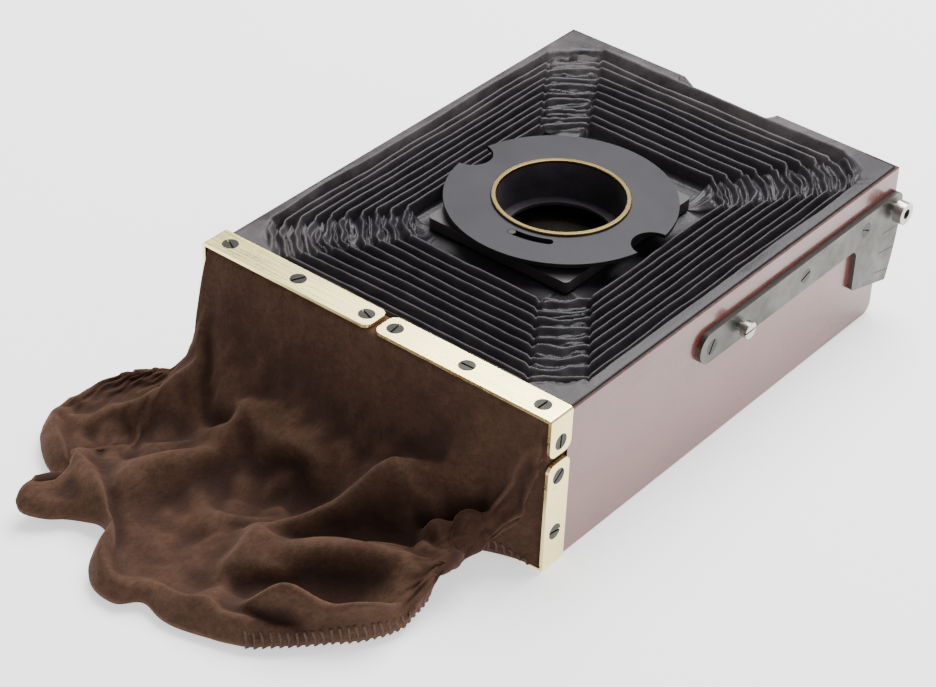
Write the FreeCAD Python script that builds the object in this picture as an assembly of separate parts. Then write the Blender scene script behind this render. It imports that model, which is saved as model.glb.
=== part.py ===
"""Collapsible plate camera body with a bag magazine: wooden box, folded bellows with a
lens flange, and a suede changing bag on one end.

Millimetres. The origin is the middle of the box's back face, which it lies on. +Z runs out
through the lens, +Y runs from the bag to the dark slide's end, +X is the side of the scale.
"""
import FreeCAD
import Part
import math
import os

V = FreeCAD.Vector
X_AXIS, Y_AXIS, Z_AXIS = V(1, 0, 0), V(0, 1, 0), V(0, 0, 1)

# ---- driving dimensions -------------------------------------------------------------------
# Glass plates and the sheaths that hold them
PLATE_W = 101.6
PLATE_L = 127.0
PLATE_T = 1.2
SHEATH_LIP = 1.2          # sheath beyond the plate, each side
SHEATH_SKIN = 0.3         # sheet metal of a sheath
WINDOW_LIP = 1.8          # plate covered by the sheath's turned-over edge
SHEATH_COUNT = 12
SHEATH_GAP = 0.05
PLATE_PLAY = 0.1          # glass in its sheath

# Wooden box round the stack of sheaths
WALL = 6.0
SIDE_CLEAR = 2.0          # sheath to side board
FAR_WALL = 6.0
FAR_STEP = 6.0            # lower end set back from the upper end
BUFFER_T = 6.0            # block that the sheaths stop against
END_CLEAR = 0.6
CHANGE_ROOM = 18.0        # free length between the stack and the mouth
FOOT_ROUND = 3.5
MOUTH_RAIL_W = 8.0
FLOOR_RAIL_T = 4.0
FIT = 0.2                 # general joiner's clearance

# Layers from the back face towards the lens
DOOR_T = 3.5
SPRING_RISE = 2.3
PRESSURE_T = 1.2
FOCAL_T = 2.0
SLIDE_T = 1.0
BELLOWS_FRAME_T = 3.0
BELLOWS_DEPTH = 10.9      # frame to the box's front edge
REBATE_W = 3.2            # ledge that the bellows frame lies on
RIM_FAR = 5.0             # far rim beyond the bellows

# Dark slide
SLIDE_EDGE = 1.5          # slide to side board
SLIDE_COVER = 6.0         # slide beyond the aperture
TAB_W = 30.0
TAB_OUT = 5.0
TAB_T = 2.6
NOTCH_TOP = 34.0          # finger notch in the far rim
NOTCH_BOTTOM = 22.0
NOTCH_DEPTH = 4.0
TRAP_T = 0.8              # velvet strips in the slide's slot

# Bellows
PLEATS = 10
PLEAT_DROP = 4.6
LEATHER_T = 0.6
RIM_FOLD = 0.3            # outermost fold's place, as a share of a fold's width
BELLOWS_EDGE = 0.6        # leather's edge inside the rim

# Front board, lens sleeve and lock ring
LENS_Y = -1.5
BOARD_SIDE = 6.2          # board beyond the sleeve's bore at each side
BOARD_END = 10.85         # and at each end
BOARD_T = 3.5
BOARD_TOP_OVER = 0.5      # board's front above the box's front edge
BASE_OVER = 8.0           # base, ring and slot beyond the bore
BASE_T = 1.6
RING_OVER = 15.0
SLOT_OVER = 4.5
RING_T = 1.2
RING_LIFT = 0.3
SLEEVE_BORE_R = 18.5
SLEEVE_WALL = 1.5
SLEEVE_DEPTH = 8.5        # below the front board's front
SLEEVE_RISE = 0.8         # above the ring
BRASS_RIM_H = 0.9
RIM_ROUND = 0.35          # rim's rounded edge, as a share of its height
BAFFLE_LIP = 3.0          # baffle inside the bore
BAFFLE_T = 1.0
RUN = 0.06                # radial clearance of the ring on its sleeve
RING_NOTCH_R = 6.2
RING_NOTCH_ANGLES = (178.0, -3.0)
SLOT_HALF = 1.3
SLOT_START = -89.0
SLOT_TURN = 28.0
STOP_PIN_R = 1.15

# Bag and the brass straps over its edge
SUEDE_T = 1.0
STRAP_T = 1.0
STRAP_W = 9.0
STRAP_OVER = 1.2          # strap past the wood's end
STRAP_GAP = 2.0           # between two straps on one face
STRAP_ROUND = 2.5
STRAP_BEND = 0.9          # outer radius where a strap turns down the side, as a share of its thickness
UPPER_LEG = 12.7          # strap's leg down the side, from the strap's front
LEG_GAP = 2.5
STRAP_SCREWS_X = (5.0, 29.5, 54.6)
UPPER_SCREW_DROP = 8.7
LOWER_SCREW_DROPS = (4.7, 23.3)

# Screws
HEAD_R = 2.4
HEAD_H = 1.2
SHANK_R = 1.2
FRONT_SCREW_L = 6.5
SIDE_SCREW_L = 6.6
BACK_SCREW_L = 5.5
DRIVE_W = 0.6
DRIVE_D = 0.5

# Side brackets
BRACKET_T = 1.6
BAR_H = 10.0
BAR_Z = 35.3
BAR_END_Y = -18.0
TAB_EDGE_IN = 21.5        # tab's inner edge from the box's far end
TAB_LOW_Z = 15.6
TAB_CORNER_Z = 10.0
TAB_CORNER_IN = 4.0       # tab's outer corner inside the scale's arc
TAB_SPARE = 5.0           # metal beyond the arc before the tab is cut to it
SCALE_OVER = 1.8          # scale's arc past the far end
PIVOT_Y = 0.8
PIVOT_NECK = (1.5, 1.6)   # radius, length
PIVOT_HEAD = (2.5, 2.1)
END_STUD_IN = 2.5         # end stud from the far end
END_NECK = (2.2, 1.3)
END_HEAD = (3.5, 3.0)
SOCKET_R = 1.6
SOCKET_DEPTH = 3.5
BAR_SCREW_IN = 5.4        # first screw from the bar's end
TAB_SCREWS = (-27.9, 3.7) # the others from the tab's inner edge
BRACKET_ROUNDS = (3.0, 1.5, 3.5)   # tab's inner corner, its lower corner, its outer corner

# Back door and its hinges
DOOR_GAP = 0.4
HINGE_YS = (-42.0, 42.0)
HINGE_L = 20.0
KNUCKLES = 5
KNUCKLE_R = 1.5
HINGE_PIN_R = 0.6
PIN_CLEAR = 0.05
PIN_IN = 2.2              # pin from the side board's inner face
LEAF_T = 0.9
LEAF_EDGE = 1.2           # box leaf beyond its knuckles
LEAF_W = 9.0
PULL_R = 5.0

# Pressure springs
SPRING_L = 70.0
SPRING_W = 10.0
SPRING_T = 0.4
SPRING_X = 26.0

# ---- places worked out from them ----------------------------------------------------------
SHEATH_W = PLATE_W + 2 * SHEATH_LIP
SHEATH_L = PLATE_L + 2 * SHEATH_LIP
SHEATH_T = PLATE_T + 2 * SHEATH_SKIN + PLATE_PLAY
HALF_IN = SHEATH_W / 2 + SIDE_CLEAR
HALF_W = HALF_IN + WALL
LENGTH = FAR_STEP + FAR_WALL + BUFFER_T + END_CLEAR + SHEATH_L + CHANGE_ROOM
Y_FAR = LENGTH / 2
Y_MOUTH = -LENGTH / 2
Y_LOW_END = Y_FAR - FAR_STEP
Y_WALL_IN = Y_LOW_END - FAR_WALL
Y_STACK_FAR = Y_WALL_IN - BUFFER_T - END_CLEAR
Y_STACK_NEAR = Y_STACK_FAR - SHEATH_L
Y_RAIL_IN = Y_MOUTH + MOUTH_RAIL_W
Y_RIM_IN = Y_FAR - RIM_FAR

Z_DOOR = DOOR_T
Z_PRESSURE = Z_DOOR + SPRING_RISE
Z_STACK = Z_PRESSURE + PRESSURE_T + SHEATH_GAP
Z_FRONT_SHEATH = Z_STACK + (SHEATH_COUNT - 1) * (SHEATH_T + SHEATH_GAP)
Z_FOCAL = Z_FRONT_SHEATH + SHEATH_T + FIT
Z_SLIDE = Z_FOCAL + FOCAL_T + FIT
Z_BELLOWS_FRAME = Z_SLIDE + SLIDE_T + FIT
Z_BELLOWS = Z_BELLOWS_FRAME + BELLOWS_FRAME_T
HEIGHT = Z_BELLOWS + BELLOWS_DEPTH
Z_STEP = Z_SLIDE - FIT - TRAP_T

APERTURE_X = PLATE_W / 2 - WINDOW_LIP
APERTURE_Y0 = Y_STACK_NEAR + SHEATH_LIP + WINDOW_LIP
APERTURE_Y1 = Y_STACK_FAR - SHEATH_LIP - WINDOW_LIP

BOARD_W = 2 * (SLEEVE_BORE_R + BOARD_SIDE)
BOARD_L = 2 * (SLEEVE_BORE_R + BOARD_END)
BASE_R = SLEEVE_BORE_R + BASE_OVER
RING_R = SLEEVE_BORE_R + RING_OVER
SLOT_R = SLEEVE_BORE_R + SLOT_OVER
BAFFLE_R = SLEEVE_BORE_R - BAFFLE_LIP
Z_BOARD = HEIGHT + BOARD_TOP_OVER
Z_BASE = Z_BOARD + BASE_T
Z_RING = Z_BASE + RING_LIFT
Z_RING_TOP = Z_RING + RING_T
SLEEVE_R = SLEEVE_BORE_R + SLEEVE_WALL
Z_SLEEVE = Z_RING_TOP + SLEEVE_RISE - BRASS_RIM_H

STRAP_Y0 = Y_MOUTH - STRAP_OVER
STRAP_Y1 = STRAP_Y0 + STRAP_W
STRAP_MID_Y = STRAP_Y0 + STRAP_W / 2
Z_STRAP_TOP = HEIGHT + SUEDE_T + STRAP_T
X_STRAP = HALF_W + STRAP_T
Z_UPPER_LEG = Z_STRAP_TOP - UPPER_LEG
Z_LOWER_LEG = Z_UPPER_LEG - LEG_GAP

END_STUD_Y = Y_FAR - END_STUD_IN
TAB_EDGE_Y = Y_FAR - TAB_EDGE_IN
SCALE_R = Y_FAR + SCALE_OVER - PIVOT_Y
BRACKET_SCREWS_Y = (BAR_END_Y + BAR_SCREW_IN, *(TAB_EDGE_Y + step for step in TAB_SCREWS))

PIN_X = -HALF_IN - PIN_IN
STUD_ROOT = WALL - REBATE_W - FIT   # studs and screws stop short of the bellows frame
PIN_Z = KNUCKLE_R + PIN_CLEAR


# ---- helpers ------------------------------------------------------------------------------
def block(x0, x1, y0, y1, z0, z1):
    return Part.makeBox(x1 - x0, y1 - y0, z1 - z0, V(x0, y0, z0))


def rod(radius, length, base, axis=Z_AXIS):
    return Part.makeCylinder(radius, length, V(*base), axis)


def tube(outer, inner, length, base, axis=Z_AXIS):
    return rod(outer, length, base, axis).cut(rod(inner, length, base, axis))


def fuse(shapes):
    whole = shapes[0]
    for shape in shapes[1:]:
        whole = whole.fuse(shape)
    return whole.removeSplitter()


def cut(shape, tools):
    for tool in tools:
        shape = shape.cut(tool)
    return shape


def prism(points, vector):
    """Solid swept along vector from the closed polygon through points."""
    wire = Part.makePolygon([V(*p) for p in points] + [V(*points[0])])
    return Part.Face(wire).extrude(vector)


def mirror_x(shape):
    return shape.mirror(V(0, 0, 0), X_AXIS)


def rounded(shape, axis, radius, keep=lambda middle: True):
    """Round the straight edges that run along axis and whose middle passes keep."""
    chosen = []
    for edge in shape.Edges:
        start, end = edge.Vertexes[0].Point, edge.Vertexes[-1].Point
        along = end - start
        if along.Length > 1e-6 and abs(along.normalize().dot(axis)) > 0.999:
            if keep((start + end) * 0.5):
                chosen.append(edge)
    return shape.makeFillet(radius, chosen)


def solids_of(shape):
    return Part.makeCompound(shape.Solids)


def save(name, shape):
    whole = solids_of(shape)
    assert whole.Solids and all(s.isValid() for s in whole.Solids), name
    whole.exportStep("parts/%s.step" % name)
    box = whole.BoundBox
    print("%-20s %2d  x %7.2f %7.2f  y %7.2f %7.2f  z %6.2f %6.2f" % (
        name, len(whole.Solids), box.XMin, box.XMax, box.YMin, box.YMax, box.ZMin, box.ZMax))


# ---- screws -------------------------------------------------------------------------------
def screw_body(head, inward, length):
    """Countersunk screw without its drive, also used to cut its own hole."""
    start = V(*head)
    cone = Part.makeCone(HEAD_R, SHANK_R, HEAD_H, start, inward)
    return cone.fuse(Part.makeCylinder(SHANK_R, length, start, inward)).removeSplitter()


def screw(head, inward, length, turn):
    """Screw with a slot, turned by an angle in degrees about its own axis."""
    start = V(*head)
    slot = Part.makeBox(2 * HEAD_R + 1, DRIVE_W, 2 * DRIVE_D, V(-HEAD_R - 0.5, -DRIVE_W / 2, -DRIVE_D))
    slot.rotate(V(0, 0, 0), Z_AXIS, turn)
    slot.Placement = FreeCAD.Placement(start, FreeCAD.Rotation(Z_AXIS, inward)).multiply(slot.Placement)
    return screw_body(head, inward, length).cut(slot)


def strap_screw_places():
    """Head, inward direction and length of each screw in the four straps."""
    places = []
    for side in (-1, 1):
        for x in STRAP_SCREWS_X:
            places.append(((side * x, STRAP_MID_Y, Z_STRAP_TOP), -Z_AXIS, FRONT_SCREW_L))
            places.append(((side * x, STRAP_MID_Y, 0), Z_AXIS, BACK_SCREW_L))
        heights = [Z_STRAP_TOP - UPPER_SCREW_DROP] + [Z_LOWER_LEG - d for d in LOWER_SCREW_DROPS]
        for z in heights:
            places.append(((side * X_STRAP, STRAP_MID_Y, z), X_AXIS * -side, SIDE_SCREW_L))
    return places


def bracket_screw_places():
    return [((side * (HALF_W + BRACKET_T), y, BAR_Z), X_AXIS * -side, STUD_ROOT + BRACKET_T)
            for side in (-1, 1) for y in BRACKET_SCREWS_Y]


STRAP_SCREWS = strap_screw_places()
BRACKET_SCREWS = bracket_screw_places()
STRAP_HOLES = [screw_body(*place) for place in STRAP_SCREWS]
BRACKET_HOLES = [screw_body(*place) for place in BRACKET_SCREWS]
STUD_ROOT_TOOLS = [
    rod(neck[0], STUD_ROOT + BRACKET_T, (side * (HALF_W + BRACKET_T), y, BAR_Z), X_AXIS * -side)
    for side in (-1, 1) for neck, y in ((PIVOT_NECK, PIVOT_Y), (END_NECK, END_STUD_Y))]


def turned_screws(places, first_turn):
    """Screws whose slots stand at different angles, as a hand driver leaves them."""
    return Part.makeCompound([screw(head, inward, length, first_turn + 47 * i)
                              for i, (head, inward, length) in enumerate(places)])


# ---- wooden box ---------------------------------------------------------------------------
def hinge_pocket(y, x_from, x_to, depth):
    half = HINGE_L / 2 + FIT
    return block(x_from, x_to, y - half, y + half, -1, depth)


def side_board():
    """Board at +X: rebated for the bellows frame, stepped at the far end and under the bag."""
    board = block(HALF_IN, HALF_W, Y_MOUTH, Y_FAR, 0, HEIGHT)
    board = board.cut(block(HALF_IN - 1, HALF_W + 1, Y_LOW_END, Y_FAR + 1, -1, Z_STEP))
    board = rounded(board, X_AXIS, FOOT_ROUND, lambda m: m.y > Y_LOW_END - 1 and m.z < 1)
    rebate = block(HALF_IN - 1, HALF_IN + REBATE_W, Y_RAIL_IN, Y_RIM_IN, Z_BELLOWS_FRAME, HEIGHT + 1)
    under_bag = [block(HALF_W - SUEDE_T, HALF_W + 1, Y_MOUTH - 1, STRAP_Y1, -1, HEIGHT + 1),
                 block(HALF_IN - 1, HALF_W + 1, Y_MOUTH - 1, STRAP_Y1, -1, SUEDE_T + STRAP_T)]
    return cut(board, [rebate] + under_bag)


def far_end_board():
    board = block(-HALF_IN, HALF_IN, Y_WALL_IN, Y_LOW_END, 0, Z_STEP)
    return rounded(board, X_AXIS, FOOT_ROUND, lambda m: m.y > Y_LOW_END - 1 and m.z < 1)


def far_end_block():
    """Upper end block: slot for the dark slide, sloping finger notch in its front edge."""
    low = block(-HALF_IN, HALF_IN, Y_WALL_IN, Y_FAR, Z_STEP, Z_BELLOWS_FRAME)
    rim = block(-HALF_IN, HALF_IN, Y_RIM_IN, Y_FAR, Z_BELLOWS_FRAME, HEIGHT)
    slot = block(-HALF_IN + SLIDE_EDGE - FIT, HALF_IN - SLIDE_EDGE + FIT, Y_WALL_IN - 1, Y_FAR + 1,
                 Z_SLIDE - FIT - TRAP_T, Z_SLIDE + SLIDE_T + FIT)
    notch = prism([(-NOTCH_TOP / 2, Y_FAR - NOTCH_DEPTH, HEIGHT + 0.01),
                   (-NOTCH_BOTTOM / 2, Y_FAR - NOTCH_DEPTH, HEIGHT - NOTCH_DEPTH),
                   (NOTCH_BOTTOM / 2, Y_FAR - NOTCH_DEPTH, HEIGHT - NOTCH_DEPTH),
                   (NOTCH_TOP / 2, Y_FAR - NOTCH_DEPTH, HEIGHT + 0.01)], V(0, NOTCH_DEPTH + 1, 0))
    return cut(fuse([low, rim]), [slot, notch])


def slide_trap():
    """Velvet strip that closes the slot below the dark slide."""
    half = HALF_IN - SLIDE_EDGE + FIT
    return block(-half, half, Y_WALL_IN, Y_LOW_END, Z_STEP, Z_STEP + TRAP_T)


def buffer_block():
    return block(-HALF_IN, HALF_IN, Y_WALL_IN - BUFFER_T, Y_WALL_IN, Z_DOOR + FIT, Z_FOCAL)


def mouth_rail_front():
    return block(-HALF_IN, HALF_IN, Y_MOUTH, Y_RAIL_IN, Z_FOCAL + FOCAL_T / 2, HEIGHT)


def mouth_rail_back():
    low = SUEDE_T + STRAP_T
    return block(-HALF_IN, HALF_IN, Y_MOUTH, Y_RAIL_IN, low, low + FLOOR_RAIL_T)


def frame_plate(x, y0, y1, z, thickness):
    """Flat frame round the plate's aperture."""
    plate = block(-x, x, y0, y1, z, z + thickness)
    return plate.cut(block(-APERTURE_X, APERTURE_X, APERTURE_Y0, APERTURE_Y1, z - 1, z + thickness + 1))


def focal_frame():
    return frame_plate(HALF_IN, Y_RAIL_IN, Y_WALL_IN, Z_FOCAL, FOCAL_T)


def bellows_frame():
    return frame_plate(HALF_IN + REBATE_W, Y_RAIL_IN, Y_RIM_IN, Z_BELLOWS_FRAME, BELLOWS_FRAME_T)


def slide_guide():
    """U-shaped strip that the dark slide's edges run in."""
    z0, z1 = Z_FOCAL + FOCAL_T, Z_BELLOWS_FRAME
    outer = block(-HALF_IN, HALF_IN, Y_RAIL_IN, Y_WALL_IN, z0, z1)
    half = HALF_IN - SLIDE_EDGE + FIT
    return outer.cut(block(-half, half, APERTURE_Y0 - SLIDE_COVER - FIT, Y_WALL_IN + 1, z0 - 1, z1 + 1))


# ---- dark slide ---------------------------------------------------------------------------
def dark_slide():
    half = HALF_IN - SLIDE_EDGE
    sheet = block(-half, half, APERTURE_Y0 - SLIDE_COVER, Y_FAR, Z_SLIDE, Z_SLIDE + SLIDE_T)
    sheet = rounded(sheet, Z_AXIS, SLIDE_T, lambda m: m.y < 0)
    tongue = block(-TAB_W / 2, TAB_W / 2, Y_FAR, Y_FAR + TAB_OUT, Z_SLIDE, Z_SLIDE + SLIDE_T)
    grip_z = Z_SLIDE + (SLIDE_T - TAB_T) / 2
    grip = block(-TAB_W / 2, TAB_W / 2, Y_FAR + TAB_OUT / 2, Y_FAR + TAB_OUT, grip_z, grip_z + TAB_T)
    grip = rounded(grip, X_AXIS, TAB_T * 0.4)
    return fuse([sheet, tongue, grip])


# ---- sheaths, plates and what presses them forward ----------------------------------------
def sheath(z):
    outer = block(-SHEATH_W / 2, SHEATH_W / 2, Y_STACK_NEAR, Y_STACK_FAR, z, z + SHEATH_T)
    room = block(-PLATE_W / 2 - PLATE_PLAY, PLATE_W / 2 + PLATE_PLAY,
                 Y_STACK_NEAR + SHEATH_LIP - PLATE_PLAY, Y_STACK_FAR - SHEATH_LIP + PLATE_PLAY,
                 z + SHEATH_SKIN, z + SHEATH_T - SHEATH_SKIN)
    window = block(-APERTURE_X, APERTURE_X, APERTURE_Y0, APERTURE_Y1, z + SHEATH_SKIN, z + SHEATH_T + 1)
    return cut(outer, [room, window])


def glass_plate(z):
    low = z + SHEATH_SKIN
    return block(-PLATE_W / 2, PLATE_W / 2, Y_STACK_NEAR + SHEATH_LIP, Y_STACK_FAR - SHEATH_LIP,
                 low, low + PLATE_T)


def stack_heights():
    return [Z_STACK + i * (SHEATH_T + SHEATH_GAP) for i in range(SHEATH_COUNT - 1)]


def pressure_plate():
    """Flat plate behind the stack, with two grooves pressed into its edges."""
    plate = block(-SHEATH_W / 2, SHEATH_W / 2, Y_STACK_NEAR, Y_STACK_FAR, Z_PRESSURE, Z_PRESSURE + PRESSURE_T)
    return rounded(plate, Z_AXIS, 3 * PRESSURE_T)


def leaf_spring(x):
    """Bowed strip: its ends stand on the door and its crown under the pressure plate."""
    half, crown = SPRING_L / 2, SPRING_RISE - SHEATH_GAP
    z = Z_DOOR

    def arc(y, low, high):
        return Part.Arc(V(0, -y, low), V(0, 0, high), V(0, y, low)).toShape()
    outer = arc(half, z + SPRING_T / 4, z + crown)
    inner = arc(half - SPRING_T, z + SPRING_T / 4, z + crown - SPRING_T)
    ends = [Part.makeLine(V(0, s * half, z + SPRING_T / 4), V(0, s * (half - SPRING_T), z + SPRING_T / 4))
            for s in (-1, 1)]
    wire = Part.Wire(Part.__sortEdges__([outer, ends[0], inner, ends[1]]))
    strip = Part.Face(wire).extrude(V(SPRING_W, 0, 0))
    strip.translate(V(x - SPRING_W / 2, (Y_STACK_NEAR + Y_STACK_FAR) / 2, 0))
    return strip


# ---- back door ----------------------------------------------------------------------------
def knuckle_spans(y):
    pitch = HINGE_L / KNUCKLES
    start = y - HINGE_L / 2
    return [(start + i * pitch + FIT / 2, start + (i + 1) * pitch - FIT / 2, i % 2 == 0)
            for i in range(KNUCKLES)]


def knuckle(y0, y1):
    return tube(KNUCKLE_R, HINGE_PIN_R + PIN_CLEAR, y1 - y0, (PIN_X, y0, PIN_Z), Y_AXIS)


def hinge_leaf(y, x_edge, for_box):
    """One leaf with its knuckles; the leaf keeps clear of the other leaf's knuckles."""
    z0 = PIN_Z - KNUCKLE_R
    plate = block(min(PIN_X, x_edge), max(PIN_X, x_edge), y - HINGE_L / 2, y + HINGE_L / 2, z0, z0 + LEAF_T)
    clear = KNUCKLE_R + 2 * FIT
    own, others = [], []
    for y0, y1, box_side in knuckle_spans(y):
        if box_side == for_box:
            own.append(knuckle(y0, y1))
        else:
            others.append(block(PIN_X - clear, PIN_X + clear, y0 - FIT, y1 + FIT, z0 - 1, z0 + 4))
    bore = rod(HINGE_PIN_R + PIN_CLEAR, HINGE_L, (PIN_X, y - HINGE_L / 2, PIN_Z), Y_AXIS)
    return fuse([cut(plate, others)] + own).cut(bore)


def back_door():
    """Door whose hinged edge stands off far enough to swing past the side board's corner."""
    x = HALF_IN - DOOR_GAP
    hinged = PIN_X + math.hypot(PIN_IN, PIN_Z) + FIT
    door = block(hinged, x, Y_RAIL_IN + DOOR_GAP, Y_WALL_IN - DOOR_GAP, 0, DOOR_T)
    half = HINGE_L / 2 + FIT
    pockets = [block(hinged - 1, PIN_X + LEAF_W, y - half, y + half, -1, PIN_Z - KNUCKLE_R + LEAF_T)
               for y in HINGE_YS]
    pull = rod(PULL_R, DOOR_T * 0.6, (x, 0, -0.1))
    return cut(door, pockets + [pull])


# ---- bellows ------------------------------------------------------------------------------
def bellows_levels():
    """Rectangles from the outer edge to the front board: half width, near y, far y, height."""
    x_out, x_in = HALF_IN + REBATE_W - BELLOWS_EDGE, BOARD_W / 2 + LEATHER_T
    near_out, near_in = Y_RAIL_IN + BELLOWS_EDGE, LENS_Y - BOARD_L / 2 - LEATHER_T
    far_out, far_in = Y_RIM_IN - BELLOWS_EDGE, LENS_Y + BOARD_L / 2 + LEATHER_T
    ridge = HEIGHT - LEATHER_T
    valley = ridge - PLEAT_DROP
    levels = [(x_out, near_out, far_out, Z_BELLOWS + LEATHER_T)]
    steps = 2 * PLEATS
    for i in range(steps):
        t = (i + RIM_FOLD) / steps
        levels.append((x_out + (x_in - x_out) * t, near_out + (near_in - near_out) * t,
                       far_out + (far_in - far_out) * t, ridge if i % 2 == 0 else valley))
    tuck = 3 * LEATHER_T
    levels.append((x_in - tuck, near_in + tuck, far_in - tuck, Z_BOARD - BOARD_T - LEATHER_T / 5))
    return levels


def bellows():
    """Pleated leather pyramid: an upper and a lower skin joined at both edges."""
    tops = bellows_levels()
    lows = [(x, y0, y1, z - LEATHER_T) for x, y0, y1, z in tops]
    loop = tops + lows[::-1]

    def corners(level):
        x, y0, y1, z = level
        return [V(-x, y0, z), V(x, y0, z), V(x, y1, z), V(-x, y1, z)]
    faces = []
    for a, b in zip(loop, loop[1:] + loop[:1]):
        ca, cb = corners(a), corners(b)
        for i in range(4):
            j = (i + 1) % 4
            faces.append(Part.Face(Part.makePolygon([ca[i], ca[j], cb[j], cb[i], ca[i]])))
    shell = Part.makeShell(faces)
    solid = Part.makeSolid(shell)
    if solid.Volume < 0:
        solid.reverse()
    return solid


# ---- front board and lens fittings --------------------------------------------------------
def lens_axis(z):
    return (0, LENS_Y, z)


def front_board():
    board = block(-BOARD_W / 2, BOARD_W / 2, LENS_Y - BOARD_L / 2, LENS_Y + BOARD_L / 2, Z_BOARD - BOARD_T, Z_BOARD)
    board = rounded(board, Z_AXIS, 1.5)
    return board.cut(rod(SLEEVE_R, BOARD_T + 2, lens_axis(Z_BOARD - BOARD_T - 1)))


def polar(radius, degrees, z):
    angle = math.radians(degrees)
    return (radius * math.cos(angle), LENS_Y + radius * math.sin(angle), z)


def flange_base():
    base = tube(BASE_R, SLEEVE_R, BASE_T, lens_axis(Z_BOARD))
    return base.cut(rod(STOP_PIN_R, BASE_T + 2, polar(SLOT_R, SLOT_START, Z_BOARD - 1)))


def stop_pin():
    return rod(STOP_PIN_R, BASE_T + RING_LIFT + RING_T, polar(SLOT_R, SLOT_START, Z_BOARD))


def lock_ring():
    """Flat ring with two finger notches and a curved slot that its stop pin runs in."""
    ring = tube(RING_R, SLEEVE_R + RUN, RING_T, lens_axis(Z_RING))
    notches = [rod(RING_NOTCH_R, RING_T + 2, polar(RING_R, a, Z_RING - 1)) for a in RING_NOTCH_ANGLES]
    low, high = SLOT_START, SLOT_START + SLOT_TURN
    band = tube(SLOT_R + SLOT_HALF, SLOT_R - SLOT_HALF, RING_T + 2, lens_axis(Z_RING - 1))
    far = 2 * RING_R
    wedge = prism([lens_axis(Z_RING - 1), polar(far, low, Z_RING - 1), polar(far, high, Z_RING - 1)],
                  V(0, 0, RING_T + 2))
    ends = [rod(SLOT_HALF, RING_T + 2, polar(SLOT_R, a, Z_RING - 1)) for a in (low, high)]
    return cut(ring, notches + [band.common(wedge)] + ends)


def lens_sleeve():
    low = Z_BOARD - SLEEVE_DEPTH
    return tube(SLEEVE_R, SLEEVE_BORE_R, Z_SLEEVE - low, lens_axis(low))


def brass_rim():
    rim = tube(SLEEVE_R, SLEEVE_BORE_R, BRASS_RIM_H, lens_axis(Z_SLEEVE))
    top = [e for e in rim.Edges if abs(e.BoundBox.ZMin - Z_SLEEVE - BRASS_RIM_H) < 1e-6]
    return rim.makeFillet(BRASS_RIM_H * RIM_ROUND, [e for e in top if abs(e.BoundBox.ZMax - e.BoundBox.ZMin) < 1e-6])


def light_baffle():
    return tube(SLEEVE_R, BAFFLE_R, BAFFLE_T, lens_axis(Z_BOARD - SLEEVE_DEPTH - BAFFLE_T))


# ---- straps and bag -----------------------------------------------------------------------
def strap(front):
    """L-shaped strap at +X, on the front face or on the back face."""
    x0 = STRAP_GAP / 2
    if front:
        flat = block(x0, X_STRAP, STRAP_Y0, STRAP_Y1, Z_STRAP_TOP - STRAP_T, Z_STRAP_TOP)
        leg = block(HALF_W, X_STRAP, STRAP_Y0, STRAP_Y1, Z_UPPER_LEG, Z_STRAP_TOP)
        bend_z, leg_end = Z_STRAP_TOP, Z_UPPER_LEG
    else:
        flat = block(x0, X_STRAP, STRAP_Y0, STRAP_Y1, 0, STRAP_T)
        leg = block(HALF_W, X_STRAP, STRAP_Y0, STRAP_Y1, 0, Z_LOWER_LEG)
        bend_z, leg_end = 0, Z_LOWER_LEG
    whole = fuse([flat, leg])
    whole = rounded(whole, Z_AXIS, STRAP_ROUND, lambda m: m.x < x0 + 0.1)
    whole = rounded(whole, X_AXIS, STRAP_ROUND, lambda m: abs(m.z - leg_end) < 0.1 and m.x > HALF_W)
    whole = rounded(whole, Y_AXIS, STRAP_T * STRAP_BEND, lambda m: m.x > X_STRAP - 0.1 and abs(m.z - bend_z) < 0.1)
    return cut(whole, STRAP_HOLES)


# Outline of the bag as it lies, from its mouth outwards: distance from the mouth, how far its left
# and right edges stand out past the box's sides, and its heights at the left edge, left panel,
# middle, right panel and right edge.
BAG_SECTIONS = (
    (7.0, 0, -2, 34, 38, 37, 38, 34),
    (13.0, 1, -13, 24, 29, 28, 31, 26),
    (20.0, 4, -14, 14, 22, 24, 27, 18),
    (31.0, 13, -13, 12, 19, 22, 24, 14),
    (46.0, 24, -9, 10, 18, 21, 20, 12),
    (60.0, 8, -16, 8, 14, 17, 15, 10),
    (75.0, -2, -30, 6, 10, 12, 10, 6),
    (88.0, -30, -54, 3, 5, 6, 5, 3),
)
# The hollow in it: distance from the mouth, how far its sides stand in from the box's, floor, roof.
BAG_HOLLOW = ((-1.0, 3, 4, 45), (2.5, 3, 4, 44), (7.0, 10, 5, 32), (13.0, 20, 5, 22), (21.0, 26, 5, 15))
BAG_SIDE_SHARE = 0.62     # where the side panels' heights are taken


def bag_wire(y, left, right, heights, low):
    xs = (left, left * BAG_SIDE_SHARE, (left + right) / 2, right * BAG_SIDE_SHARE, right)
    points = [V(left, y, low)] + [V(x, y, z) for x, z in zip(xs, heights)] + [V(right, y, low)]
    return Part.makePolygon(points + [points[0]])


def rectangle(y, x, z0, z1):
    return Part.makePolygon([V(-x, y, z0), V(-x, y, z1), V(x, y, z1), V(x, y, z0), V(-x, y, z0)])


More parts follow.
